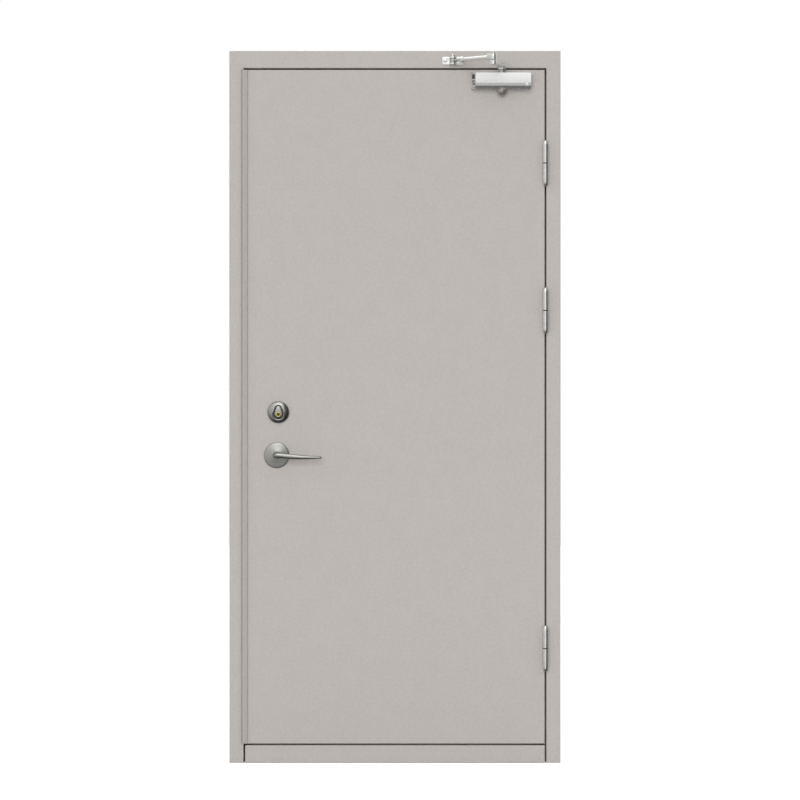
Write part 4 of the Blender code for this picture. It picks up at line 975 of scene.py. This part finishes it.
class FIREDOOR_OT_closer_arms(Operator):
    """Main arm, forearm with its sliding rod and clamp nut, and the shoe on the frame's head"""

    bl_idname = "firedoor.closer_arms"
    bl_label = "Closer arms"

    # Main arm: thickness, radii at its two ends, and half the width of the pinion's square
    thickness = 0.008
    arm_radii = (0.0100, 0.0080)
    square = 0.0058
    # Forearm: the rod, the eye round the shoe's pin, the sleeve over the rod and the block at the elbow
    rod_radius = 0.0045
    rod_from = 0.006
    rod_length = 0.129
    eye = ((0.0092, 0), (0.0100, 0.0009), (0.0100, 0.0121), (0.0092, 0.0130))
    eye_half = 0.0065
    sleeve_from = 0.0622
    sleeve_radius = 0.0065
    sleeve_bore = 0.0048
    block_radii = (0.0095, 0.0105)
    # Clamp nut: six-sided, with turned chamfers at both ends; it ends 0.3 mm short of the sleeve
    nut = ((0.0082, 0), (0.0096, 0.0012), (0.0096, 0.0168), (0.0082, 0.0180))
    nut_from = 0.062 - 0.018 - 0.0003
    # Places of the shoe's two fixing screws, left and right of its pin
    shoe_screws = (-0.0235, 0.0235)

    def main_arm(self):
        low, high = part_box("main_arm")
        top = ARM_UNDER + self.thickness
        arm = plank("closer_arm", [PINION, ELBOW], self.arm_radii, UP, ARM_UNDER, top)
        soften(arm, 0.0014, 4, 50)
        tall = top - low.z
        boss = turned("boss", PINION + UP * low.z, UP, [
            (0.0122, 0), (0.0130, 0.0008), (0.0130, tall + 0.0006), (0.0124, tall + 0.0013),
            (0.0114, tall + 0.0015),
        ], 64)
        boolean(arm, boss, "UNION")
        tall = high.z - ARM_UNDER
        knuckle = turned("knuckle", ELBOW + UP * (ARM_UNDER - 0.0002), UP, [
            (0.0097, 0), (0.0105, 0.0009), (0.0105, tall - 0.0008), (0.0097, tall + 0.0002),
        ], 56)
        boolean(arm, knuckle, "UNION")
        side = self.square
        start = PINION + Vector((-side, -side, low.z - 0.01))
        boolean(arm, block("square_hole", start, PINION + Vector((side, side, top + 0.01))))
        dress(arm, "closer_main_arm", "silver", "closer_silver", "main_arm")
        # Screw that holds the arm down on the pinion's square
        screw = socket_screw(0.0050, 0.0026)
        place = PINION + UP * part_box("closer_pinion")[1].z
        set_screws(screw, "arm_fixing_screw", [place], UP, "closer_main_arm", "zinc", "zinc_steel")

    def forearm(self):
        along = (ELBOW - SHOE_PIN).normalized()
        length = (ELBOW - SHOE_PIN).length
        line = SHOE_PIN + UP * FOREARM_LINE
        slot, body = "closer_silver", "closer_forearm"
        bar = rod("forearm_bar", line + along * self.rod_from, along, self.rod_length, self.rod_radius, 40)
        eye = turned("eye", line - UP * self.eye_half, UP, self.eye, 56)
        boolean(eye, bar, "UNION")
        bore(eye, line - UP * 0.01, UP, 0.02, 0.0043)
        eye.name = "forearm_bar_with_eye"
        dress(eye, body, "zinc", slot, "forearm_rod")

        radius = self.sleeve_radius
        tube = turned("forearm_sleeve", line, along, [
            (radius, self.sleeve_from), (radius, length - 0.006), (0.0060, length - 0.004),
        ], 48)
        ends = [SHOE_PIN + along * (length - 0.018), ELBOW]
        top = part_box("forearm_tube")[1].z
        head = plank("elbow_block", ends, self.block_radii, UP, FOREARM_UNDER, top)
        soften(head, 0.0014, 4, 50)
        boolean(tube, head, "UNION")
        bore(tube, line + along * 0.060, along, 0.075, self.sleeve_bore)
        dress(tube, body, "silver", slot, "forearm_tube")

        nut = turned("sleeve_nut", line + along * self.nut_from, along, self.nut, 6)
        soften(nut, 0.0005, 3)
        bore(nut, line + along * (self.nut_from - 0.002), along, 0.022, self.sleeve_bore)
        dress(nut, body, "silver", "zinc_steel", "forearm_clamp")

        low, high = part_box("elbow_screw")
        screw = socket_screw(0.0065, high.z - low.z)
        made = set_screws(screw, "elbow_cap_screw", [ELBOW + UP * low.z], UP, body, "zinc", "zinc_steel")
        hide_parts("elbow_screw")

    def shoe(self):
        piece = soften(node_copy("closer_shoe", "shoe_bracket"), 0.0007, 3)
        dress(piece, "frame", "silver", "closer_silver", "closer_shoe")
        low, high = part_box("closer_shoe")
        # The fixing plate is 4 mm thick
        face = high.y - 0.004
        spots = [(SHOE_PIN.x + dx, face + SUNK, (low.z + high.z) / 2) for dx in self.shoe_screws]
        screw = cross_screw(0.0048, 0.0022)
        set_screws(screw, "shoe_screws", spots, -BACK, "frame", "bright", "zinc_steel")
        low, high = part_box("shoe_pivot_screw")
        tall = high.z - low.z
        pin = turned("shoe_pin", SHOE_PIN + UP * low.z, UP, [
            (0.0037, 0), (0.0040, 0.0003), (0.0040, tall - 0.0073), (0.0050, tall - 0.0073),
            (0.0050, tall - 0.0009), (0.0047, tall - 0.0003), (0.0041, tall),
        ], 40)
        bore(pin, SHOE_PIN + UP * (high.z - 0.003), UP, 0.006, 0.0026, 6)
        dress(pin, "frame", "bright", "zinc_steel", "shoe_pivot_screw")

    def execute(self, context):
        self.main_arm()
        self.forearm()
        self.shoe()
        return {"FINISHED"}


class FIREDOOR_OT_stage(Operator):
    """White floor and surroundings, soft daylight and the camera at the photograph's angle"""

    bl_idname = "firedoor.stage"
    bl_label = "Stage"

    # Metres across the photograph, seen square on, and the height and place aside of its middle
    view_width = 2.4156
    eye_height = 1.0960
    eye_aside = 0.0153
    sensor = 36.0

    def floor(self):
        piece = primitive("plane", "studio_floor", size=40.0, location=(0, 10.0, -0.0005))
        edit(piece)
        bpy.ops.mesh.subdivide(number_cuts=3)
        leave()
        material, tree, shader = start_material("white_studio_floor", 0.0, 0.9)
        shader.inputs["Base Color"].default_value = (0.9, 0.9, 0.9, 1)
        # The camera sees the floor a little brighter, so that it is white up to the door's soft shadow
        path = add(tree, "LightPath")
        lift = add(tree, "Math", {0: path.outputs["Is Camera Ray"], 1: 0.62}, operation="MULTIPLY")
        glow = add(tree, "Emission", {"Color": (1, 1, 1, 1), "Strength": lift.outputs[0]})
        both = add(tree, "AddShader", {0: shader.outputs[0], 1: glow.outputs[0]})
        tree.links.new(both.outputs[0], tree.nodes["Material Output"].inputs["Surface"])
        piece.data.materials.append(material)
        piece.visible_glossy = False

    def surroundings(self):
        """White to the camera, even light on the door, and a room with a window for its reflections."""
        world = bpy.data.worlds.new("studio_surroundings")
        bpy.context.scene.world = world
        world.use_nodes = True
        tree = world.node_tree
        tree.nodes.clear()
        path = add(tree, "LightPath")
        x, y, z = add(tree, "SeparateXYZ", {0: add(tree, "TexCoord").outputs["Generated"]}).outputs
        offset = add(tree, "Math", {0: x, 1: 0.06}, operation="SUBTRACT")
        aside = add(tree, "Math", {0: offset.outputs[0]}, operation="ABSOLUTE").outputs[0]
        levels = {}
        # Each row: a level, the direction that it follows, where it starts and ends, and its values there
        for name, way, start, end, first, last, run in (
            # Even soft light, a little stronger from above
            ("light", z, -0.6, 0.9, 0.46, 0.58, "LINEAR"),
            # Reflections see a bright wall level with the door, which darkens towards the floor
            ("wall", z, -0.78, 0.05, 0.05, 1.05, "LINEAR"),
            # A narrow window stands above it, short of a dim ceiling
            ("window", z, 0.05, 0.45, 0.0, 1.6, "SMOOTHSTEP"),
            ("narrow", aside, 0.10, 0.48, 1.0, 0.12, "SMOOTHSTEP"),
            ("ceiling", z, 0.72, 0.94, 1.0, 0.30, "SMOOTHSTEP"),
            # The room grows dark on the right, though not behind the door, and dim on the left
            ("right", x, 0.18, 0.60, 1.0, 0.10, "SMOOTHSTEP"),
            ("behind", y, -0.05, 0.35, 0.0, 0.85, "LINEAR"),
            ("left", x, -0.85, -0.25, 0.72, 1.0, "SMOOTHSTEP"),
        ):
            sockets = {"Value": way, "From Min": start, "From Max": end, "To Min": first, "To Max": last}
            levels[name] = add(tree, "MapRange", sockets, interpolation_type=run).outputs[0]
        for name, one, operation, other in (
            ("glare", "window", "MULTIPLY", "narrow"),
            ("rise", "wall", "ADD", "glare"),
            ("under", "rise", "MULTIPLY", "ceiling"),
            ("open_right", "right", "MAXIMUM", "behind"),
            ("sides", "open_right", "MULTIPLY", "left"),
            ("room", "under", "MULTIPLY", "sides"),
        ):
            sockets = {0: levels[one], 1: levels[other]}
            levels[name] = add(tree, "Math", sockets, operation=operation).outputs[0]
        soft, room, white = (
            add(tree, "Background", {"Color": (1, 1, 1, 1), "Strength": strength}).outputs[0]
            for strength in (levels["light"], levels["room"], 1.0)
        )
        sockets = {0: path.outputs["Is Glossy Ray"], 1: path.outputs["Is Transmission Ray"]}
        mirror = add(tree, "Math", sockets, operation="MAXIMUM").outputs[0]
        lit = add(tree, "MixShader", {0: mirror, 1: soft, 2: room}).outputs[0]
        final = add(tree, "MixShader", {0: path.outputs["Is Camera Ray"], 1: lit, 2: white})
        add(tree, "OutputWorld", {"Surface": final.outputs[0]})

    def lamp(self, name, strength, angle, aim):
        bpy.ops.object.select_all(action="DESELECT")
        bpy.ops.object.light_add(type="SUN", location=(0, -4, 4))
        lamp = bpy.context.object
        lamp.name = name
        lamp.data.energy = strength
        lamp.data.angle = radians(angle)
        lamp.rotation_euler = Vector(aim).to_track_quat("-Z", "Y").to_euler()
        lamp.visible_glossy = False

    def camera(self):
        distance = sizes().view_distance
        place = (self.eye_aside, LEAF_LOW.y - distance, self.eye_height)
        bpy.ops.object.select_all(action="DESELECT")
        bpy.ops.object.camera_add(location=place, rotation=(pi / 2, 0, 0))
        camera = bpy.context.object
        camera.data.sensor_width = self.sensor
        camera.data.lens = self.sensor * distance / self.view_width
        camera.data.clip_end = 200.0
        bpy.context.scene.camera = camera

    def execute(self, context):
        self.floor()
        self.surroundings()
        self.lamp("front_light", 1.25, 28, (0.10, 1.0, -0.20))
        self.lamp("back_light", 1.25, 28, (-0.10, -1.0, -0.20))
        self.camera()
        context.scene.view_settings.view_transform = "Standard"
        return {"FINISHED"}


OPERATORS = (
    FIREDOOR_OT_painted_sheet, FIREDOOR_OT_hinges, FIREDOOR_OT_lever_set, FIREDOOR_OT_deadbolt,
    FIREDOOR_OT_lock_edge, FIREDOOR_OT_closer_body, FIREDOOR_OT_closer_arms, FIREDOOR_OT_stage,
)


class FIREDOOR_PT_panel(Panel):
    """Pieces, sizes and colours of the fire door"""

    bl_idname = "FIREDOOR_PT_panel"
    bl_label = "Steel fire door"
    bl_space_type = "VIEW_3D"
    bl_region_type = "UI"
    bl_category = "Fire door"

    def draw(self, context):
        for group in (sizes(), colours()):
            box = self.layout.box()
            for name in group.__annotations__:
                box.prop(group, name)
        for operator in OPERATORS:
            self.layout.operator(operator.bl_idname)


CLASSES = (FireDoorColours, FireDoorSizes, *OPERATORS, FIREDOOR_PT_panel)


def register():
    for item in CLASSES:
        bpy.utils.register_class(item)
    bpy.types.Scene.fire_door_colours = PointerProperty(type=FireDoorColours)
    bpy.types.Scene.fire_door_sizes = PointerProperty(type=FireDoorSizes)


def unregister():
    del bpy.types.Scene.fire_door_sizes
    del bpy.types.Scene.fire_door_colours
    for item in reversed(CLASSES):
        bpy.utils.unregister_class(item)


def main():
    register()
    bpy.ops.object.select_all(action="DESELECT")
    for operator in OPERATORS:
        group, name = operator.bl_idname.split(".")
        getattr(getattr(bpy.ops, group), name)()
    bpy.ops.object.select_all(action="DESELECT")


if __name__ == "__main__":
    main()
